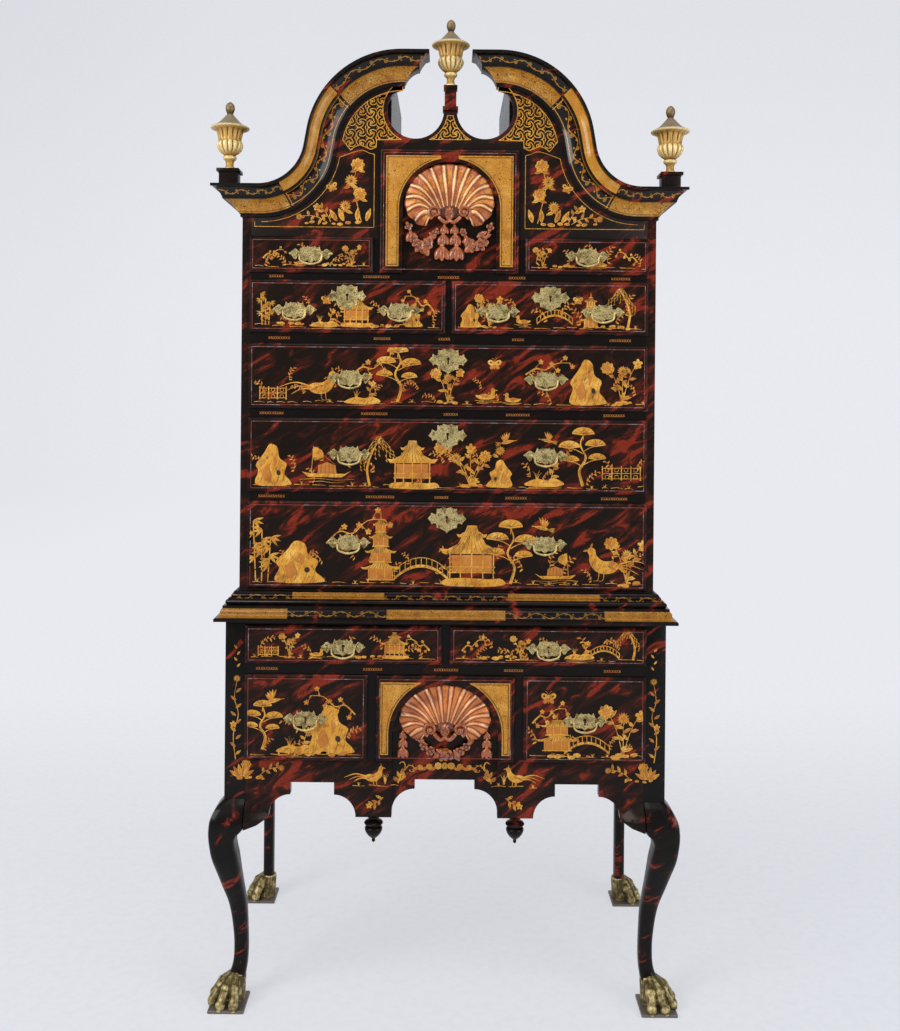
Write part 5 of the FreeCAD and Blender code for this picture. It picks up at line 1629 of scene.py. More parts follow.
class Gilding:
    """Gold on one face: flat shapes that are lifted together, cut off at the face's border."""

    def __init__(self, x0, x1, z0, z1, seed=0):
        self.limits = (x0, x1, z0, z1)
        self.shapes = []
        self.chance = random.Random(seed)

    def add(self, points, tone, level):
        """Keeps one shape, cut off at the border and drawn counter-clockwise."""
        x0, x1, z0, z1 = self.limits
        kept = []
        for x, z in points:
            spot = (min(x1, max(x0, x)), min(z1, max(z0, z)))
            if not kept or math.dist(spot, kept[-1]) > NEAR:
                kept.append(spot)
        while len(kept) > 2 and math.dist(kept[0], kept[-1]) <= NEAR:
            kept.pop()
        if len(kept) > 2 and abs(area(kept)) > SMALLEST:
            self.shapes.append((kept if area(kept) > 0 else kept[::-1], tone, level))

    def pen(self, x, z, size=1.0, flip=1, turn=0.0):
        """A pen at a place of the face; flip -1 mirrors what it draws."""
        return Pen(self, x, z, size, flip, turn)

    def build(self, name, body, y):
        """Makes the piece: each level's faces are extruded and their edges are set in."""
        layers = []
        for level in sorted({shape[2] for shape in self.shapes}):
            chosen = [shape for shape in self.shapes if shape[2] == level]
            corners, faces = [], []
            for k, (points, _, _) in enumerate(chosen):
                faces.append(range(len(corners), len(corners) + len(points)))
                own = y - k % 11 * 0.000013
                corners += [(x * MM, own, z * MM) for x, z in points]
            mesh = bpy.data.meshes.new("layer")
            mesh.from_pydata(corners, [], faces)
            for key in TONES:
                mesh.materials.append(finish(key))
            for face, shape in zip(mesh.polygons, chosen):
                face.material_index = shape[1]
            obj = bpy.data.objects.new("layer", mesh)
            bpy.context.scene.collection.objects.link(obj)
            edit(obj)
            pull(0, -LIFTS[level] * MM, 0)
            bpy.ops.mesh.inset(thickness=INSETS[level] * MM, depth=INSETS[level] * 0.3 * MM,
                               use_individual=True, use_even_offset=False)
            bpy.ops.mesh.select_all(action="SELECT")
            bpy.ops.mesh.normals_make_consistent(inside=False)
            leave()
            layers.append(obj)
        return settle(together(layers), name, body, None, (), 30)


class Pen:
    """Draws in its own units at one place of a gilded face."""

    def __init__(self, gilding, x, z, size, flip, turn):
        self.gilding = gilding
        self.x, self.z, self.size, self.flip = x, z, size, flip
        self.turn = math.radians(turn)
        self.chance = gilding.chance

    def spot(self, a, b):
        """Where a point of the pen's own drawing falls on the face."""
        c, s = math.cos(self.turn), math.sin(self.turn)
        a, b = (a * c - b * s) * self.flip, a * s + b * c
        return self.x + a * self.size, self.z + b * self.size

    def pen(self, a, b, size=1.0, flip=1, turn=0.0):
        """A smaller pen at a place of this one."""
        x, z = self.spot(a, b)
        return Pen(self.gilding, x, z, self.size * size, self.flip * flip,
                   math.degrees(self.turn) + turn)

    def plate(self, points, tone=GOLD, level=MASS):
        """Filled shape with straight sides."""
        self.gilding.add([self.spot(*p) for p in points], tone, level)

    def patch(self, points, tone=GOLD, level=MASS):
        """Filled shape with rounded sides."""
        self.plate(smooth_line(points, True), tone, level)

    def stroke(self, points, thick, thin=None, tone=GOLD, level=LINE):
        """Brush stroke through points, from thick to thin; both are real millimetres."""
        thin = thick if thin is None else thin
        line = [self.spot(*p) for p in smooth_line(points, False, 4)]
        left, right = [], []
        for i, (x, z) in enumerate(line):
            x0, z0 = line[max(0, i - 1)]
            x1, z1 = line[min(len(line) - 1, i + 1)]
            far = math.hypot(x1 - x0, z1 - z0) or 1.0
            half = (thick + (thin - thick) * i / (len(line) - 1)) / 2
            dx, dz = -(z1 - z0) / far * half, (x1 - x0) / far * half
            left.append((x + dx, z + dz))
            right.append((x - dx, z - dz))
        self.gilding.add(left + right[::-1], tone, level)

    def ink(self, points, thick, thin=None):
        """Dark line over the gold."""
        self.stroke(points, thick, thin, INK, INKED)

    def bar(self, points, thick, thin=None):
        """Gold line that stands over the other gold."""
        self.stroke(points, thick, thin, GOLD, OVER)

    def outline(self, points, thick):
        """Bars all round a shape."""
        for ends in zip(points, points[1:] + points[:1]):
            self.bar(ends, thick)

    def stalk(self, path, thick, thin, tone=GOLD, level=LINE):
        """Draws a stalk and gives the place at a share of its length."""
        self.stroke(path, thick, thin, tone, level)
        line = smooth_line(path, False, 8)
        return lambda share: line[int(share * (len(line) - 1))]

    def oval(self, a, b, wide, high, turn=0.0, tone=GOLD, level=MASS, sides=14):
        """Filled oval about (a, b)."""
        t = math.radians(turn)
        points = []
        for k in range(sides):
            p = 2 * math.pi * k / sides
            u, v = wide * math.cos(p), high * math.sin(p)
            points.append((a + u * math.cos(t) - v * math.sin(t),
                           b + u * math.sin(t) + v * math.cos(t)))
        self.plate(points, tone, level)

    def blade(self, a, b, heading, reach, width, tone=GOLD, level=MASS):
        """Pointed leaf from (a, b)."""
        t = math.radians(heading)
        c, s = math.cos(t), math.sin(t)
        shares = ((0, 0), (0.25, 0.42), (0.55, 0.5), (0.85, 0.22), (1, 0), (0.8, -0.26),
                  (0.5, -0.46), (0.2, -0.36))
        self.patch([(a + reach * u * c - width * v * s, b + reach * u * s + width * v * c)
                    for u, v in shares], tone, level)

    def leaf(self, a, b, heading, reach, width, tone=GOLD, level=MASS):
        """Pointed leaf from (a, b), with a dark vein."""
        self.blade(a, b, heading, reach, width, tone, level)
        t = math.radians(heading)
        c, s = math.cos(t), math.sin(t)
        self.ink([(a + reach * u * c, b + reach * u * s) for u in (0.12, 0.5, 0.86)], 0.7, 0.4)


def blossom(pen, petals=5, tone=GOLD):
    """Small open flower, ten units across."""
    for k in range(petals):
        a = 2 * math.pi * k / petals + 0.3
        pen.oval(3.4 * math.cos(a), 3.4 * math.sin(a), 2.4, 1.9, math.degrees(a), tone, MASS, 10)
    pen.oval(0, 0, 1.5, 1.5, 0, RED if tone == GOLD else GOLD, OVER, 8)


def peony(pen):
    """Full flower, about forty units across, with two rows of petals."""
    for k in range(8):
        a = 2 * math.pi * k / 8
        x, y = 13 * math.cos(a), 12 * math.sin(a)
        pen.oval(x, y, 7.5, 6.2, math.degrees(a), sides=12)
        pen.ink([(x * 0.9, y * 0.9), (x * 1.45, y * 1.45)], 0.8, 0.5)
    for k in range(6):
        a = 2 * math.pi * (k + 0.5) / 6
        pen.oval(6.5 * math.cos(a), 6 * math.sin(a), 4.6, 3.6, math.degrees(a), RED, OVER, 10)
    pen.oval(0, 0, 3.2, 3.0, 0, GOLD, OVER, 10)


def aster(pen):
    """Flower of thirteen narrow rays, about thirty units across."""
    for k in range(13):
        a = 360 * k / 13
        t = math.radians(a)
        pen.blade(4 * math.cos(t), 4 * math.sin(t), a, 11, 4.0)
    pen.oval(0, 0, 4.2, 4.2, 0, RED, OVER, 12)
    pen.oval(0, 0, 2.0, 2.0, 0, INK, INKED, 8)


def grass(pen, blades=5, reach=20):
    """Tuft of grass that opens like a fan."""
    for k in range(blades):
        lean = (k - (blades - 1) / 2) / blades * 2
        up = reach * pen.chance.uniform(0.7, 1.1)
        pen.stroke([(lean * 2, 0), (lean * 5, up * 0.55), (lean * 13, up)], 1.5, 0.4)


def pebbles(pen, count, spread):
    """Row of rounded stones along the ground."""
    for k in range(count):
        a = (k + pen.chance.uniform(0.2, 0.8)) / count * spread - spread / 2
        wide = pen.chance.uniform(4.5, 9.5)
        tone = GOLD if pen.chance.random() < 0.75 else RED
        pen.oval(a, pen.chance.uniform(-2, 4), wide, wide * 0.52, pen.chance.uniform(-12, 12),
                 tone, MASS if k % 2 else OVER)
        pen.ink([(a - wide * 0.5, 1.0), (a, 2.4), (a + wide * 0.5, 1.2)], 0.7, 0.5)


def ground(pen, reach):
    """Broken ground lines with small tufts."""
    a = -reach / 2
    while a < reach / 2:
        run = pen.chance.uniform(14, 42)
        b = pen.chance.uniform(-3, 3)
        pen.stroke([(a, b), (a + run / 2, b + pen.chance.uniform(-1.5, 2.5)), (a + run, b - 1)],
                   1.6, 0.6)
        if pen.chance.random() < 0.4:
            grass(pen.pen(a + run / 2, b, 0.5), 4, 18)
        a += run + pen.chance.uniform(4, 16)


def spray(pen, reach, rise, bend, flower=blossom, leaves=6, size=1.6):
    """Bending stalk with pairs of leaves and a flower at its tip."""
    path = [(0, 0), (reach * 0.3, rise * 0.45 + bend), (reach * 0.65, rise * 0.8 + bend),
            (reach, rise)]
    at = pen.stalk(path, 1.9, 0.9)
    for k in range(leaves):
        x, y = at((k + 1) / (leaves + 1.5))
        heading = math.degrees(math.atan2(rise, reach)) + (55 if k % 2 else -60)
        pen.leaf(x, y, heading + pen.chance.uniform(-18, 18), pen.chance.uniform(12, 18), 6.5,
                 RED if k % 3 == 2 else GOLD)
    flower(pen.pen(reach, rise, size))


def twig(pen, reach=34, rise=20):
    """Thin twig in red gold with many small leaves."""
    path = [(0, 0), (reach * 0.4, rise * 0.7), (reach, rise)]
    at = pen.stalk(path, 1.3, 0.6, RED)
    for k in range(9):
        x, y = at((k + 1) / 10)
        way = 70 if k % 2 else -50
        pen.blade(x, y, way + pen.chance.uniform(-25, 25), pen.chance.uniform(6, 10), 3.2,
                  RED if k % 3 else GOLD, LINE)


def flowering(pen, height=90, stems=3):
    """Clump of flowering stalks from one foot."""
    kinds = (peony, aster, blossom, peony, aster)
    sizes = (0.72, 0.8, 1.9, 0.62, 0.7)
    for k in range(stems):
        lean = (k - (stems - 1) / 2) * height * 0.36
        up = height * (1.0 - 0.2 * (k % 2)) * pen.chance.uniform(0.85, 1.0)
        spray(pen, lean, up, height * 0.02, kinds[k % 5], 5, sizes[k % 5])
    pebbles(pen, 4, 46)


def branch(pen, reach=110, rise=45, blooms=7):
    """Crooked blossoming branch."""
    path = [(0, 0), (reach * 0.22, rise * 0.5), (reach * 0.45, rise * 0.42),
            (reach * 0.7, rise * 0.95), (reach, rise)]
    at = pen.stalk(path, 4.2, 1.2, GOLD, MASS)
    for k in range(blooms):
        x, y = at((k + 0.8) / blooms)
        side = 1 if k % 2 else -1
        a, b = pen.chance.uniform(4, 14), side * pen.chance.uniform(9, 19)
        pen.stroke([(x, y), (x + a * 0.5, y + b * 0.6), (x + a, y + b)], 1.5, 0.8)
        blossom(pen.pen(x + a, y + b, 1.15), 5, GOLD if k % 3 else RED)
        pen.blade(x, y, side * pen.chance.uniform(30, 80), 9, 4, RED)


def pine(pen, height=110):
    """Crooked pine with flat fans of needles."""
    path = [(0, 0), (8, height * 0.3), (-6, height * 0.55), (6, height * 0.8), (0, height)]
    pen.stroke(path, 7.5, 2.2, GOLD, MASS)
    pen.ink([(1, 6), (7, height * 0.3), (-4, height * 0.5)], 0.9, 0.6)
    tufts = ((0.0, 1.02, 24), (-26, 0.80, 22), (30, 0.76, 23), (-30, 0.54, 19), (26, 0.50, 18))
    for a, share, wide in tufts:
        b = height * share
        pen.stroke([(0, b - 14), (a * 0.5, b - 6), (a, b - 2)], 2.2, 1.4)
        fan = [(a + wide * math.cos(t), b + wide * 0.62 * math.sin(t))
               for t in [math.pi * k / 10 for k in range(11)]]
        pen.plate([(a, b - 3)] + fan)
        for k in range(1, 10, 2):
            t = math.pi * k / 10
            pen.ink([(a, b), (a + wide * 0.9 * math.cos(t), b + wide * 0.55 * math.sin(t))],
                    0.9, 0.5)


def willow(pen, height=120):
    """Leaning willow with hanging strands."""
    path = [(0, 0), (-6, height * 0.35), (8, height * 0.7), (26, height * 0.95)]
    pen.stroke(path, 6.5, 2.0, GOLD, MASS)
    for k in range(11):
        a = -22 + k * 8.5
        top = height * (0.98 - 0.00018 * (a - 22) ** 2)
        fall = pen.chance.uniform(30, 58)
        pen.stroke([(20, height * 0.86), ((a + 20) / 2, top), (a, top - fall * 0.4),
                    (a + 2, top - fall)], 1.3, 0.5)
        for step in range(4):
            pen.blade(a, top - fall * (0.3 + 0.2 * step), -80 + 25 * (step % 2), 7.5, 2.8)


def bamboo(pen, height=110, culms=3):
    """Jointed canes with hanging leaves."""
    for k in range(culms):
        a = k * 11 - culms * 4
        lean = (k - 1) * 5
        top = height * (1 - 0.14 * k)
        joints = 5
        for j in range(joints):
            low, high = top * j / joints + 1.2, top * (j + 1) / joints - 1.2
            pen.stroke([(a + lean * low / top, low), (a + lean * high / top, high)], 3.0, 2.8,
                       GOLD, MASS)
        for j in range(2, joints + 1):
            b = top * j / joints
            side = 1 if (j + k) % 2 else -1
            for turn in (-20, 12, 44):
                heading = turn if side > 0 else 180 - turn
                pen.blade(a + lean * b / top, b, heading - 30 * side, 20, 4.6)


def rock(pen, wide=60, high=70):
    """Tall pierced garden rock."""
    w, h = wide / 2, high
    pen.patch([(-w, 0), (-w * 0.9, h * 0.34), (-w * 1.05, h * 0.5), (-w * 0.55, h * 0.78),
               (-w * 0.2, h), (w * 0.25, h * 0.93), (w * 0.42, h * 0.66), (w * 0.85, h * 0.52),
               (w * 0.72, h * 0.28), (w * 1.05, h * 0.12), (w, 0)])
    pen.patch([(-w * 0.5, h * 0.1), (-w * 0.62, h * 0.36), (-w * 0.28, h * 0.5),
               (-w * 0.12, h * 0.2)], RED, OVER)
    pen.patch([(w * 0.1, h * 0.42), (w * 0.02, h * 0.7), (w * 0.26, h * 0.6)], RED, OVER)
    for a in (-0.75, -0.2, 0.25, 0.6):
        pen.ink([(w * a, h * 0.06), (w * (a + 0.1), h * 0.24), (w * (a - 0.04), h * 0.4)], 0.9, 0.5)
    pen.oval(w * 0.36, h * 0.3, w * 0.13, h * 0.07, 20, INK, INKED, 10)


def roof(pen, wide, high, tone=GOLD):
    """Tiled roof with lifted eaves."""
    w = wide / 2
    pen.plate([(-w, 0), (-w * 1.14, high * 0.30), (-w * 0.86, high * 0.26), (-w * 0.5, high * 0.55),
               (-w * 0.34, high), (w * 0.34, high), (w * 0.5, high * 0.55),
               (w * 0.86, high * 0.26), (w * 1.14, high * 0.30), (w, 0)], tone)
    for k in range(-4, 5):
        pen.ink([(w * k * 0.19, high * 0.06), (w * k * 0.125, high * 0.5),
                 (w * k * 0.075, high * 0.94)], 0.8, 0.5)
    pen.bar([(-w * 0.37, high), (0, high * 1.04), (w * 0.37, high)], 2.2)


def pagoda(pen, storeys=3, wide=52):
    """Tower of small rooms, each under its own roof."""
    base = 0.0
    for k in range(storeys):
        w = wide * (1 - 0.2 * k)
        tall = 19.0 - 2 * k
        pen.plate([(-w * 0.32, base), (-w * 0.32, base + tall), (w * 0.32, base + tall),
                   (w * 0.32, base)], RED)
        for post in (-0.34, -0.12, 0.12, 0.34):
            pen.bar([(w * post, base), (w * post, base + tall)], 1.9)
        pen.bar([(-w * 0.4, base), (w * 0.4, base)], 2.6)
        roof(pen.pen(0, base + tall - 2), w, 13 - k)
        base += tall + 10 - k
    pen.bar([(0, base), (0, base + 14)], 2.4, 0.9)


def tea_house(pen):
    """Open house on posts under a wide roof, with a lattice rail."""
    pen.plate([(-34, 12), (-34, 42), (34, 42), (34, 12)], RED)
    for a in (-37, -19, 0, 19, 37):
        pen.bar([(a, 0), (a, 46)], 3.0)
    for b in (12, 22):
        pen.bar([(-40, b), (40, b)], 2.0)
    for k in range(-4, 4):
        pen.bar([(k * 10, 12), (k * 10 + 10, 22)], 1.1)
        pen.bar([(k * 10, 22), (k * 10 + 10, 12)], 1.1)
    roof(pen.pen(0, 44), 96, 30)
    roof(pen.pen(0, 72), 46, 19)
    pen.patch([(-48, -9), (-44, 1), (-10, 3), (30, 1), (50, 2), (56, -8), (20, -12), (-20, -11)])


def bridge(pen, reach=110, rise=26):
    """Arched foot bridge with a railing."""
    def arc(up):
        return [(reach * (k / 10 - 0.5), up + rise * (1 - (k / 5 - 1) ** 2)) for k in range(11)]

    pen.plate(arc(0) + arc(-6)[::-1])
    pen.stroke(arc(14), 1.8)
    for k in range(11):
        a, b = arc(0)[k]
        pen.bar([(a, b), (a, b + 15)], 1.7)
    for k in range(1, 10):
        a, b = arc(0)[k]
        pen.ink([(a - 3, b - 1), (a - 2, b - 5)], 0.8)


def fence(pen, panels=3):
    """Fret fence."""
    for k in range(panels + 1):
        pen.stroke([(k * 18, 0), (k * 18, 27)], 2.6, 2.6, GOLD, MASS)
    for b in (3, 13, 23):
        pen.stroke([(0, b), (panels * 18, b + 0.5)], 1.5)
    for k in range(panels):
        a = k * 18
        pen.stroke([(a + 6, 3), (a + 6, 9), (a + 12, 9), (a + 12, 3)], 1.1)
        pen.stroke([(a + 6, 23), (a + 6, 17), (a + 12, 17), (a + 12, 23)], 1.1)


def duck(pen):
    """Swimming duck, about forty units long."""
    pen.patch([(-20, 2), (-25, 9), (-16, 9), (-4, 12), (6, 10), (10, 16), (9, 22), (14, 25),
               (19, 21), (18, 13), (19, 5), (10, 0), (-8, -1)])
    pen.blade(18, 20.5, -10, 7, 3, RED, OVER)
    pen.leaf(6, 6, 172, 22, 8.5, RED, OVER)
    pen.oval(14.5, 21.5, 0.9, 0.9, 0, INK, INKED, 8)
    for b, far in ((-3, 26), (-6, 17)):
        pen.stroke([(-far, b), (0, b - 1), (far, b)], 1.2, 0.5)


def pheasant(pen):
    """Long-tailed bird on the ground, about ninety units long."""
    pen.patch([(-14, 8), (-22, 18), (-12, 25), (4, 26), (14, 34), (17, 44), (24, 47), (29, 42),
               (26, 34), (25, 22), (16, 10), (2, 5)])
    pen.blade(28, 43, -18, 8, 3.4, RED, OVER)
    pen.blade(24, 46, 112, 9, 3, RED)
    for k, (reach, drop) in enumerate(((62, 4), (50, -3), (38, -8))):
        pen.stroke([(-15, 18 - 2 * k), (-15 - reach * 0.5, 22 + drop), (-15 - reach, 12 + drop)],
                   4.6, 0.8, RED if k == 1 else GOLD, MASS)
    for k in range(4):
        pen.leaf(12 - 5 * k, 22 - k, 190 + 6 * k, 17, 6, RED if k % 2 else GOLD, OVER)
    for a in (2, 10):
        pen.stroke([(a, 7), (a + 2, -5), (a + 9, -6)], 1.8, 0.8)
    pen.oval(24, 43, 1, 1, 0, INK, INKED, 8)


def flying(pen):
    """Bird on the wing, about fifty units across."""
    pen.leaf(-12, -2, 12, 34, 9)
    for k in range(5):
        pen.blade(0, 2, 66 + 17 * k, 26 - 2 * k, 5.5, GOLD if k % 2 else RED, OVER)
    for turn in (172, 190, 206):
        pen.blade(-10, -2, turn, 17, 4)
    pen.stroke([(21, 5), (28, 6)], 1.8, 0.6)


def butterfly(pen):
    """Butterfly with open wings, about thirty units across."""
    for side in (-1, 1):
        pen.oval(side * 8, 6, 8, 6, side * 32)
        pen.oval(side * 6, -4, 5.5, 4, side * -35, RED)
        pen.oval(side * 8.5, 6.5, 2.4, 1.8, side * 32, INK, INKED, 10)
        pen.stroke([(0, 7), (side * 3, 14), (side * 7, 17)], 0.9, 0.5)
    pen.bar([(0, 9), (0, -9)], 2.6, 1.0)


def boat(pen):
    """Flat river boat with a mat roof and a pole."""
    pen.plate([(-48, 12), (-36, 2), (28, 1), (46, 14), (34, 8), (-34, 9)])
    pen.plate([(-18, 9), (-17, 24), (0, 30), (16, 24), (18, 9)], RED)
    for a in (-12, -4, 4, 12):
        pen.ink([(a, 9), (a * 0.9, 26)], 0.9)
    pen.stroke([(-30, 8), (-26, 60)], 1.6, 1.0)
    pen.stroke([(-26, 58), (-8, 44), (14, 26)], 0.9, 0.7)
    pen.patch([(-26, 58), (-10, 52), (-8, 40), (-25, 34)])
    for b, far in ((-3, 52), (-8, 34)):
        pen.stroke([(-far, b), (-far / 3, b + 2), (far / 3, b - 1), (far, b + 1)], 1.3, 0.5)


def island(pen, wide=90):
    """Low mound in the water with grass and a small tree."""
    w = wide / 2
    pen.patch([(-w, 0), (-w * 0.7, 9), (-w * 0.3, 13), (w * 0.1, 10), (w * 0.5, 15), (w, 2),
               (w * 0.4, -5), (-w * 0.5, -4)])
    for a in (-0.6, -0.1, 0.4):
        pen.ink([(w * a, 2), (w * (a + 0.16), 7), (w * (a + 0.3), 4)], 0.9, 0.5)
    grass(pen.pen(-w * 0.35, 10), 5, 22)
    spray(pen.pen(w * 0.35, 12), 10, 34, 0, blossom, 4, 1.3)
    for b, far in ((-9, 0.9), (-13, 0.5)):
        pen.stroke([(-w * far, b), (0, b + 1), (w * far, b)], 1.2, 0.5)


def scroll(pen, r, way=1, tone=GOLD):
    """Leafy scroll that winds in to a bud."""
    path = []
    for k in range(15):
        a = k * 0.42
        reach = r * (1 - 0.055 * k)
        path.append((way * (r - reach * math.cos(a)), reach * math.sin(a)))
    pen.stroke(path, r * 0.13 * pen.size + 0.7, 0.8, tone, LINE)
    for k in range(1, 11, 2):
        x, y = path[k]
        away = math.degrees(math.atan2(y, x - way * r))
        pen.blade(x, y, away + 35 * way, r * 0.42, r * 0.19, tone)
    pen.oval(path[-1][0], path[-1][1], r * 0.13, r * 0.13, 0, RED, MASS, 10)


def acanthus(pen, lobes=5):
    """Curling leaf of lobes that grow smaller towards the tip, about forty units high."""
    for k in range(lobes):
        a = 150 - 34 * k
        pen.leaf(k * 2.4, k * 6.2, a, 17 - 2.2 * k, 7.5 - k, GOLD if k % 2 else RED)
        pen.leaf(k * 2.4, k * 6.2, a - 108, 14 - 2 * k, 6.5 - k, GOLD)
    pen.bar([(-2, -4), (4, 14), (12, 28), (8, 38), (0, 34)], 4.0, 1.2)


# A drawer's scene: motif, place along the drawer from -1 to 1, lift off the ground, size (below
# zero when it is mirrored) and what else the motif is told.
SCENES = {
    "small_drawer_left": (
        (branch, -0.86, 0.30, 0.5, 100, 42), (duck, -0.20, 0.05, 0.6),
        (pebbles, 0.42, 0.05, 0.9, 5, 70), (flowering, 0.74, 0.0, 0.55, 88, 3)),
    "small_drawer_right": (
        (flowering, -0.80, 0.0, 0.55, 88, 3), (pebbles, -0.42, 0.05, 0.9, 5, 70),
        (island, 0.16, 0.08, 0.6), (branch, 0.90, 0.25, -0.55, 90, 44)),
    "half_drawer_left": (
        (bamboo, -0.88, 0.0, 0.72), (pebbles, -0.62, 0.02, 1.0, 5, 80), (island, -0.24, 0.0, 0.8),
        (butterfly, -0.22, 0.62, 0.9), (tea_house, 0.10, 0.06, 0.78),
        (rock, 0.72, 0.0, 0.9, 44, 60), (branch, 0.95, 0.35, -0.8, 90, 50),
        (pebbles, 0.36, 0.0, 1.0, 6, 90)),
    "half_drawer_right": (
        (rock, -0.86, 0.0, 0.9, 52, 62), (flowering, -0.66, 0.0, 0.8), (duck, -0.30, 0.1, -0.8),
        (butterfly, 0.30, 0.66, 0.8), (bridge, 0.05, 0.12, 0.8),
        (pagoda, 0.44, 0.02, 0.92, 3, 50), (pebbles, 0.66, 0.0, 1.0, 6, 90),
        (willow, 0.84, 0.0, -0.85)),
    "long_drawer_top": (
        (fence, -0.97, 0.04, 1.2, 3), (pheasant, -0.66, 0.10, 1.35),
        (branch, -0.50, 0.50, 1.1, 110, 40), (pine, -0.26, 0.02, 1.1), (island, -0.44, 0.0, 1.0),
        (flowering, 0.0, 0.0, 1.0, 84, 3), (duck, 0.20, 0.08, 1.1), (duck, 0.33, 0.03, -0.9),
        (butterfly, 0.24, 0.72, 1.1), (branch, 0.40, 0.55, 1.0, 110, 30),
        (rock, 0.72, 0.0, 1.15, 70, 95), (flowering, 0.90, 0.0, 1.15)),
    "long_drawer_middle": (
        (rock, -0.90, 0.0, 1.2, 66, 84), (boat, -0.62, 0.12, 1.3), (willow, -0.40, 0.0, 1.05),
        (tea_house, -0.18, 0.04, 1.15), (flowering, 0.12, 0.0, 1.2, 84, 5),
        (flying, 0.30, 0.72, 1.0), (rock, 0.27, 0.0, -0.95, 60, 70), (island, 0.50, 0.04, 1.1),
        (pine, 0.70, 0.02, -1.15), (fence, 0.80, 0.12, 1.3, 4), (flying, 0.52, 0.75, -0.9)),
    "long_drawer_bottom": (
        (bamboo, -0.95, 0.0, 1.35, 112, 3), (rock, -0.76, 0.0, 1.3, 84, 78),
        (branch, -0.62, 0.52, 1.2, 120, 50), (pagoda, -0.34, 0.04, 1.5, 4, 58),
        (bridge, -0.13, 0.08, 1.2), (tea_house, 0.13, 0.05, 1.45), (pine, 0.33, 0.0, 1.25),
        (boat, 0.56, 0.06, -1.1), (flying, 0.50, 0.74, -1.1), (pheasant, 0.82, 0.10, -1.55),
        (flowering, 0.93, 0.0, 1.2)),
    "stand_top_drawer_left": (
        (fence, -0.92, 0.05, 0.9, 3), (flowering, -0.58, 0.0, 0.6), (duck, -0.28, 0.06, 0.75),
        (pebbles, 0.28, 0.05, 1, 6, 90), (tea_house, 0.56, 0.08, 0.62),
        (branch, 0.94, 0.3, -0.62, 90, 44)),
    "stand_top_drawer_right": (
        (branch, -0.94, 0.3, 0.62, 90, 44), (pebbles, -0.54, 0.05, 1, 6, 90),
        (flowering, -0.30, 0.0, 0.58), (island, 0.34, 0.06, 0.8), (bridge, 0.60, 0.1, 0.7),
        (willow, 0.92, 0.0, -0.66)),
    "stand_side_drawer_left": (
        (flying, -0.62, 0.72, 1.15), (pine, -0.78, 0.06, 0.95), (rock, 0.46, 0.02, 1.25, 80, 92),
        (island, -0.16, 0.04, 1.1), (branch, 0.90, 0.55, -1.0), (pebbles, 0.3, 0.0, 1.1, 7, 120)),
    "stand_side_drawer_right": (
        (butterfly, -0.66, 0.78, 1.2), (pagoda, -0.50, 0.08, 1.3, 2, 70),
        (bridge, 0.04, 0.06, 1.0), (flowering, 0.70, 0.0, 1.3),
        (branch, -0.95, 0.45, 0.9, 90, 40), (pebbles, -0.3, 0.0, 1.1, 6, 100)),
}
# In millimetres: the ground over the opening's foot, the border's line, and a twig's share.
GROUND_UP = 13.0
FRAME_IN = 5.5
TWIG_EVERY = 26


def paint_scene(name, seed):
    """Gilding of one drawer front."""
    x0, x1, z0, z1 = [v / MM for v in opening(name)]
    g = Gilding(x0 + 4.5, x1 - 4.5, z0 + 4.5, z1 - 4.5, seed)
    middle, half, high = (x0 + x1) / 2, (x1 - x0) / 2 - 12, z1 - z0 - 24
    for motif, along, lift, size, *told in SCENES[name]:
        motif(g.pen(middle + half * along, z0 + GROUND_UP + high * lift, abs(size),
                    1 if size > 0 else -1), *told)
    ground(g.pen(middle, z0 + GROUND_UP), 2 * half)
    twigs = int(half / TWIG_EVERY)
    for k in range(twigs):
        along = (k + g.chance.uniform(0.1, 0.9)) / twigs * 2 - 1
        flip = g.chance.choice((-1, 1))
        twig(g.pen(middle + half * along, z0 + GROUND_UP + high * g.chance.uniform(0.0, 0.45),
                   g.chance.uniform(0.8, 1.25), flip, g.chance.uniform(-10, 45)))
    frame_line(g, x0 + FRAME_IN, x1 - FRAME_IN, z0 + FRAME_IN, z1 - FRAME_IN)
    return g


def frame_line(g, x0, x1, z0, z1):
    """Four straight lines along a border, red with a painted highlight in lilac grey."""
    for ends in (((x0, z0), (x1, z0)), ((x0, z1), (x1, z1)), ((x0, z0), (x0, z1)),
                 ((x1, z0), (x1, z1))):
        g.pen(0, 0).stroke(ends, 1.5, 1.5, LINE_AND_HIGHLIGHT)


def shell_panels(name, top, r, out):
    """Gold ground round the arch of a shell drawer: two corners with a strip down each side."""
    x0, x1, z0, z1 = [v / MM for v in opening(name)]
    g = Gilding(x0, x1, z0, z1)
    roof, foot, middle = z1 - 12, z0 + 13, top - r
    frame_line(g, x0 + FRAME_IN, x1 - FRAME_IN, z0 + FRAME_IN, z1 - FRAME_IN)
    for flip in (-1, 1):
        pen = g.pen(0, 0, 1, flip)
        for inset in (0, 4.0):
            near, far = r + 9 + inset, out - inset
            last = math.asin(min(0.985, (roof - 2 - inset - middle) / near))
            arch = [(near * math.cos(last * k / 24), middle + near * math.sin(last * k / 24))
                    for k in range(25)]
            edge = arch + [(arch[-1][0], roof - inset), (far, roof - inset), (far, foot + inset),
                           (near, foot + inset)]
            if not inset:
                pen.plate(edge, PANEL, LINE)
                continue
            for line in (arch[:-2], edge[25:27], edge[26:28], edge[27:29],
                         (edge[28], edge[0])):
                pen.ink(line, 1.1)
    return g


def outline_of(line, low, high):
    """The points of a line in metres between two heights, all in millimetres."""
    return [(x / MM, z / MM) for x, z in line if low < z / MM < high]


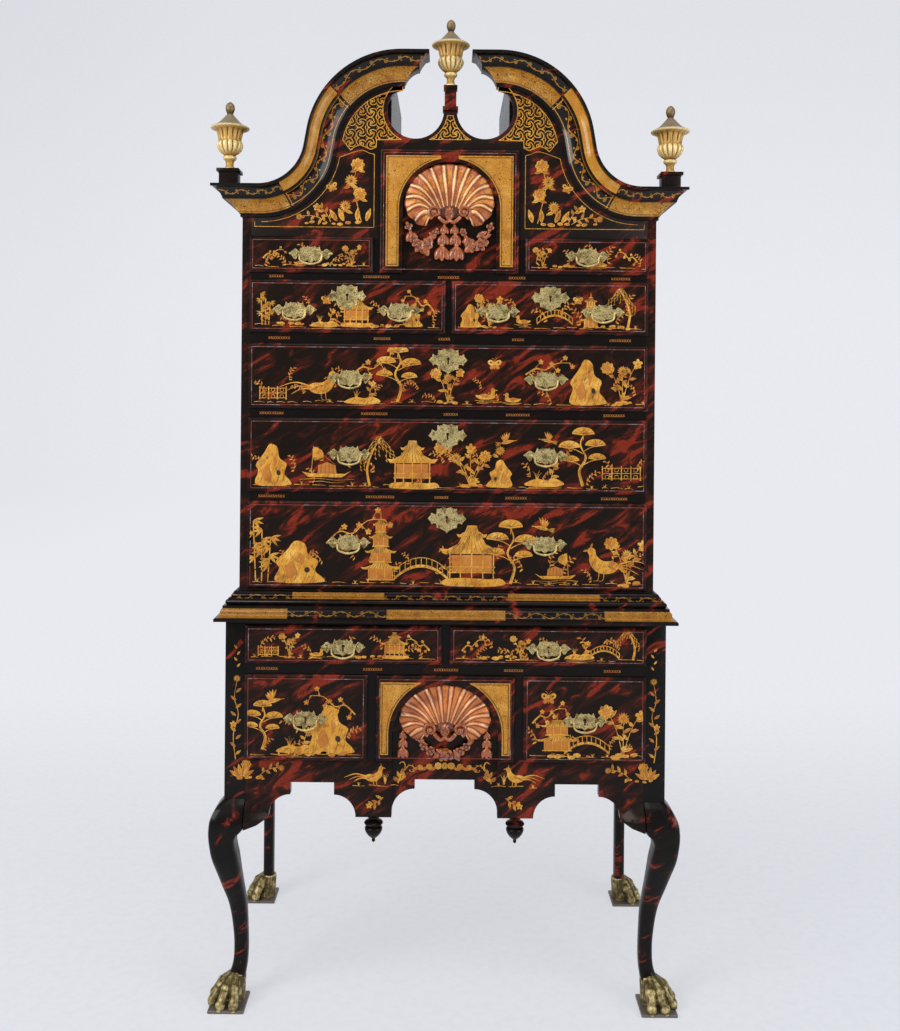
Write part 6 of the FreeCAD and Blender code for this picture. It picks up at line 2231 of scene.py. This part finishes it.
def tympanum_panels():
    """Scrolls beside the lobes and flowers in a thin line below them."""
    g = Gilding(-520, 520, 1860, 2420, 7)
    slope = neck_line(-0.010)
    for flip in (-1, 1):
        pen = g.pen(0, 0, 1, flip)
        lobe = [(x / MM, z / MM) for x, z in lobe_line(LOBE_R + 0.011, 60)]
        last = next(k for k, (_, z) in enumerate(lobe) if z < 2128)
        foot = [(-182, 2128), (-183, 2110), (-196, 2104), (-210, 2110), (-222, 2115),
                (-236, 2110), (-246, 2102)]
        upper = outline_of(slope, 2104, 2400)
        edge = upper + lobe[:last] + foot
        pen.plate(edge, LACE, LINE)
        pen.outline(edge, 2.0)
        side = [p for p in outline_of(slope, 1900, 2088) if p[0] > -482]
        for part in (side, ((-482, side[0][1]), (-482, 1911)), ((-482, 1911), (-187, 1911)),
                     ((-187, 1911), (-187, 2092)),
                     ((-187, 2092), (-200, 2095), (-214, 2101), (-232, 2099), side[-1])):
            pen.stroke(part, 1.3)
        stalk = g.pen(-232 * flip, 1924, 1, flip)
        stalk.stroke([(14, 0), (2, 50), (-6, 96), (4, 140)], 2.2, 1.2)
        for a, b, kind, size in ((4, 142, peony, 0.85), (-12, 102, aster, 1.1),
                                 (10, 70, peony, 0.8), (-26, 40, aster, 1.0)):
            kind(stalk.pen(a, b, size))
            stalk.leaf(a, b - 12, 200, 20, 8, RED)
            stalk.leaf(a, b - 12, -20, 20, 8)
        for a in (-46, -30, 4, 26):
            stalk.leaf(a, 2, 90 - a * 0.7, 34, 13)
        spray(stalk.pen(-62, 0), -34, 36, 4, blossom, 6, 1.7)
        spray(stalk.pen(-70, -2), -70, 14, 6, aster, 6, 0.6)
        pebbles(stalk.pen(-60, -4), 7, 150)
        butterfly(stalk.pen(-58, 84, 0.9, 1, 20))
    right = [(-x / MM, z / MM) for x, z in lobe_line(LOBE_R + 0.010, 80)]
    right = [(x, z) for x, z in right if 4 < x < 74 and 2128 < z < 2190]
    edge = right + [(-x, z) for x, z in reversed(right)]
    centre = g.pen(0, 0)
    centre.plate(edge, LACE, LINE)
    centre.outline(edge, 1.6)
    return g


def diaper(pen, wide):
    """Patch of small crossing strokes."""
    for k in range(int(wide / 6)):
        a = k * 6 - wide / 2
        pen.stroke([(a, -3.2), (a + 4.6, 3.2)], 1.1, 0.8, RED)
        pen.stroke([(a + 4.6, -3.2), (a, 3.2)], 1.1, 0.8, RED)


def rail_marks(rows, seed):
    """Short marks along the rails between the drawers of each pair."""
    g = Gilding(-520, 520, 400, 2200, seed)
    for over, under in rows:
        z = (opening(over)[2] + opening(under)[3]) / 2 / MM
        for share in (-0.90, -0.36, 0.0, 0.36, 0.90):
            diaper(g.pen(share * 470 + g.chance.uniform(-12, 12), z), g.chance.uniform(26, 74))
    return g


def stand_plants():
    """Plants on the posts and birds, bushes and leaves on the apron's sides."""
    g = Gilding(-536, 536, 466, 920, 31)
    for flip in (-1, 1):
        post = g.pen(-512 * flip, 622, 1, flip)
        post.stroke([(0, -20), (-6, 40), (6, 90), (-4, 130), (2, 172)], 2.4, 0.9)
        for k in range(9):
            post.leaf(0, k * 19 - 8, 90 + (52 if k % 2 else -52), 17, 6.5, RED if k % 3 else GOLD)
        aster(post.pen(2, 178, 0.6))
        blossom(post.pen(-6, 66, 1.5))
        for k in range(4):
            post.leaf(2, 206 + k * 15, 90 + (40 if k % 2 else -40), 12, 4.5)
        bush = g.pen(-496 * flip, 560, 1, flip)
        for k, lean in enumerate((-58, -34, -12, 12, 34, 58)):
            bush.leaf(k * 2 - 6, 0, 90 - lean, 34 - 2 * abs(k - 3), 10, RED if k % 2 else GOLD)
        peony(bush.pen(10, 30, 0.62))
        pebbles(bush.pen(24, -4), 5, 70)
        spray(bush.pen(40, 0), 56, 22, 4, aster, 6, 0.55)
        bird = g.pen(-176 * flip, 546, 0.9, flip)
        pheasant(bird)
        grass(bird.pen(34, 0, 0.9), 6, 30)
        ground(bird.pen(0, -6), 110)
        spray(g.pen(-150 * flip, 512, 1, flip), -34, -20, 0, blossom, 5, 1.4)
    return g


def apron_middle():
    """Leaf scrolls beside the arch and a cluster of flowers over it."""
    g = Gilding(-127, 127, 540, 604, 33)
    for flip in (-1, 1):
        acanthus(g.pen(-112 * flip, 548, 1.25, flip))
        scroll(g.pen(-96 * flip, 576, 1, flip), 13)
        for k in range(3):
            peony(g.pen((16 + 22 * k) * flip, 586 - 2 * k, 0.46 - 0.05 * k))
            g.pen((16 + 22 * k) * flip, 586, 1, flip).leaf(4, -4, -24, 18, 7, RED)
    aster(g.pen(0, 586, 0.66))
    return g


class HIGHBOY_OT_scenes(bpy.types.Operator):
    """Gild the drawer fronts with gardens, houses and birds"""
    bl_idname = "highboy.scenes"
    bl_label = "Drawer gilding"

    def execute(self, context):
        for seed, name in enumerate(SCENES):
            face = case_front(name) - SEAT - LIP_T + 0.0007
            paint_scene(name, seed + 20).build(name + "_gilding", name, face)
        return {"FINISHED"}


UPPER_ROWS = ("small_drawer_left", "half_drawer_left", "long_drawer_top",
              "long_drawer_middle", "long_drawer_bottom")
STAND_ROWS = ("stand_top_drawer_left", "stand_side_drawer_left")


class HIGHBOY_OT_ornament(bpy.types.Operator):
    """Gild the tympanum, the shell drawers, the rails, the posts and the apron"""
    bl_idname = "highboy.ornament"
    bl_label = "Case gilding"

    def execute(self, context):
        lip = SEAT + LIP_T
        for gilding, name, body, y in (
                (shell_panels("upper_shell_drawer", 2073, 116, 157), "upper_shell",
                 "upper_shell_drawer", UPPER_FRONT - lip + 0.0002),
                (shell_panels("stand_shell_drawer", 798.5, 129.5, 158), "stand_shell",
                 "stand_shell_drawer", FRONT - lip + 0.0002),
                (tympanum_panels(), "tympanum", CASE, UPPER_FRONT + 0.0001),
                (rail_marks(zip(UPPER_ROWS, UPPER_ROWS[1:]), 41), "upper_rail", CASE,
                 UPPER_FRONT + 0.0001),
                (rail_marks([STAND_ROWS], 43), "stand_rail", CASE, FRONT + 0.0001),
                (stand_plants(), "stand", CASE, FRONT + 0.0001),
                (apron_middle(), "apron", CASE, FRONT + 0.0121)):
            gilding.build(name + "_gilding", body, y)
        return {"FINISHED"}


# --- stage --------------------------------------------------------------------------------
FLOOR_SIZE, BACKDROP_HIGH = 24, 14.0
CAMERA_SHIFT, CAMERA_ROLL = (0.0020, -0.1177), -0.5
WORLD_LIGHT = 0.42
# Lamps: name, place, what they look at, width and height, watts and colour.
LAMPS = (("key", (-3.0, -2.7, 2.9), (0, 0, 1.2), (2.0, 2.0), 100, (1.0, 0.98, 0.95)),
         ("fill", (3.2, -2.5, 1.7), (0, 0, 1.1), (2.2, 2.2), 62, (0.95, 0.98, 1.0)),
         ("top", (0.0, -1.6, 4.4), (0, -0.3, 1.0), (2.5, 1.2), 30, (1.0, 1.0, 1.0)))


def backdrop_finish(name, backdrop):
    """Pale surface: lit near the object, where its shadow falls, and plain farther back."""
    f = Finish(name, roughness=0.8)
    grain = f.noise(f.place, 40.0)
    tone = f.mix(backdrop, tuple(c * 0.98 for c in backdrop), f.between(grain, 0.45, 0.6))
    f.set("Base Color", tone)
    path = f.node("ShaderNodeLightPath").socket.node
    camera, glossy, through = [Strand(f, path.outputs["Is %s Ray" % kind])
                               for kind in ("Camera", "Glossy", "Transmission")]
    x, y, z = f.parts(f.place)
    share = 0.50 + f.between(y, -1.2, 2.6) * 0.50
    share = share * (1.0 - f.between(z, 2.0, 8.5) * 0.14) * (1.0 - f.between(-x, 2.5, 7.0) * 0.08)
    glow = f.node("ShaderNodeEmission", None, {"Color": tone})
    both = f.node("ShaderNodeMixShader", None,
                  {0: camera.high(glossy).high(through) * share,
                   1: Strand(f, f.shader.outputs[0]), 2: glow})
    f.tree.links.new(both.socket, f.surface)
    return f.material


def lamp(name, place, aim, size, power, tone):
    """Area lamp that looks at a point."""
    light = bpy.data.lights.new(name, "AREA")
    light.shape = "RECTANGLE"
    light.size, light.size_y = size
    light.energy = power
    light.color = tone
    obj = bpy.data.objects.new(name, light)
    obj.location = place
    obj.rotation_euler = (Vector(aim) - Vector(place)).to_track_quat("-Z", "Y").to_euler()
    bpy.context.scene.collection.objects.link(obj)


def studio_world(tone):
    """World that lights the object softly and shows its full colour to the camera."""
    world = bpy.data.worlds.new("studio")
    world.use_nodes = True
    nodes, links = world.node_tree.nodes, world.node_tree.links
    light, wall = nodes["Background"], nodes.new("ShaderNodeBackground")
    for shade, strength in ((light, WORLD_LIGHT), (wall, 1.0)):
        shade.inputs["Color"].default_value = (*tone, 1.0)
        shade.inputs["Strength"].default_value = strength
    seen, both = nodes.new("ShaderNodeLightPath"), nodes.new("ShaderNodeMixShader")
    links.new(seen.outputs["Is Camera Ray"], both.inputs[0])
    links.new(light.outputs[0], both.inputs[1])
    links.new(wall.outputs[0], both.inputs[2])
    links.new(both.outputs[0], nodes["World Output"].inputs["Surface"])
    return world


class HIGHBOY_OT_stage(bpy.types.Operator):
    """Set the camera, lamps, floor and backdrop"""
    bl_idname = "highboy.stage"
    bl_label = "Stage"

    def execute(self, context):
        scene = context.scene
        view = settings().view
        scene.view_settings.view_transform = "Standard"
        clear()
        bpy.ops.mesh.primitive_plane_add(size=FLOOR_SIZE, location=(0, 0, 0))
        floor = bpy.context.object
        edit(floor, "EDGE")
        pick(floor, lambda edge: all(v.co.y > 1 for v in edge.verts), "edges")
        for y, z in ((0.35, 0.08), (0.25, 0.25), (0.08, 0.35), (0, BACKDROP_HIGH)):
            pull(0, y, z)
        leave()
        bpy.ops.object.shade_smooth()
        floor.name = "floor"
        floor.data.materials.append(backdrop_finish("pale_backdrop", view.floor))

        camera = bpy.data.cameras.new("camera")
        camera.lens = view.lens
        camera.sensor_width = camera.sensor_height = 36.0
        camera.sensor_fit = "VERTICAL"
        camera.shift_x, camera.shift_y = CAMERA_SHIFT
        camera.clip_end = 50.0
        eye = bpy.data.objects.new("camera", camera)
        eye.location = (view.side, FRONT - view.distance, view.eye)
        eye.rotation_euler = (math.radians(90), math.radians(CAMERA_ROLL), 0)
        scene.collection.objects.link(eye)
        scene.camera = eye

        for row in LAMPS:
            lamp(*row)
        scene.world = studio_world(view.floor)
        return {"FINISHED"}


class HIGHBOY_PT_builder(bpy.types.Panel):
    """Sidebar panel with the sizes, colours and pieces"""
    bl_idname = "HIGHBOY_PT_builder"
    bl_label = "Highboy"
    bl_space_type = "VIEW_3D"
    bl_region_type = "UI"
    bl_category = "Highboy"

    def draw(self, context):
        highboy = context.scene.highboy
        for group in (highboy.finish, highboy.carving, highboy.view):
            box = self.layout.box()
            for key in group.__annotations__:
                box.prop(group, key)
        for operator in OPERATORS:
            self.layout.operator(operator.bl_idname)


OPERATORS = (HIGHBOY_OT_drawers, HIGHBOY_OT_brasses, HIGHBOY_OT_pediment, HIGHBOY_OT_case,
             HIGHBOY_OT_legs, HIGHBOY_OT_finials, HIGHBOY_OT_shells, HIGHBOY_OT_scenes,
             HIGHBOY_OT_ornament, HIGHBOY_OT_stage)
CLASSES = (FinishSettings, CarvingSettings, ViewSettings, HighboySettings, *OPERATORS,
           HIGHBOY_PT_builder)


def register():
    """Adds the add-on's classes and settings to Blender."""
    for cls in CLASSES:
        bpy.utils.register_class(cls)
    bpy.types.Scene.highboy = PointerProperty(type=HighboySettings)


def unregister():
    """Takes them away again."""
    del bpy.types.Scene.highboy
    for cls in reversed(CLASSES):
        bpy.utils.unregister_class(cls)


def main():
    register()
    for operator in OPERATORS:
        group, name = operator.bl_idname.split(".")
        getattr(getattr(bpy.ops, group), name)()


if __name__ == "__main__":
    main()
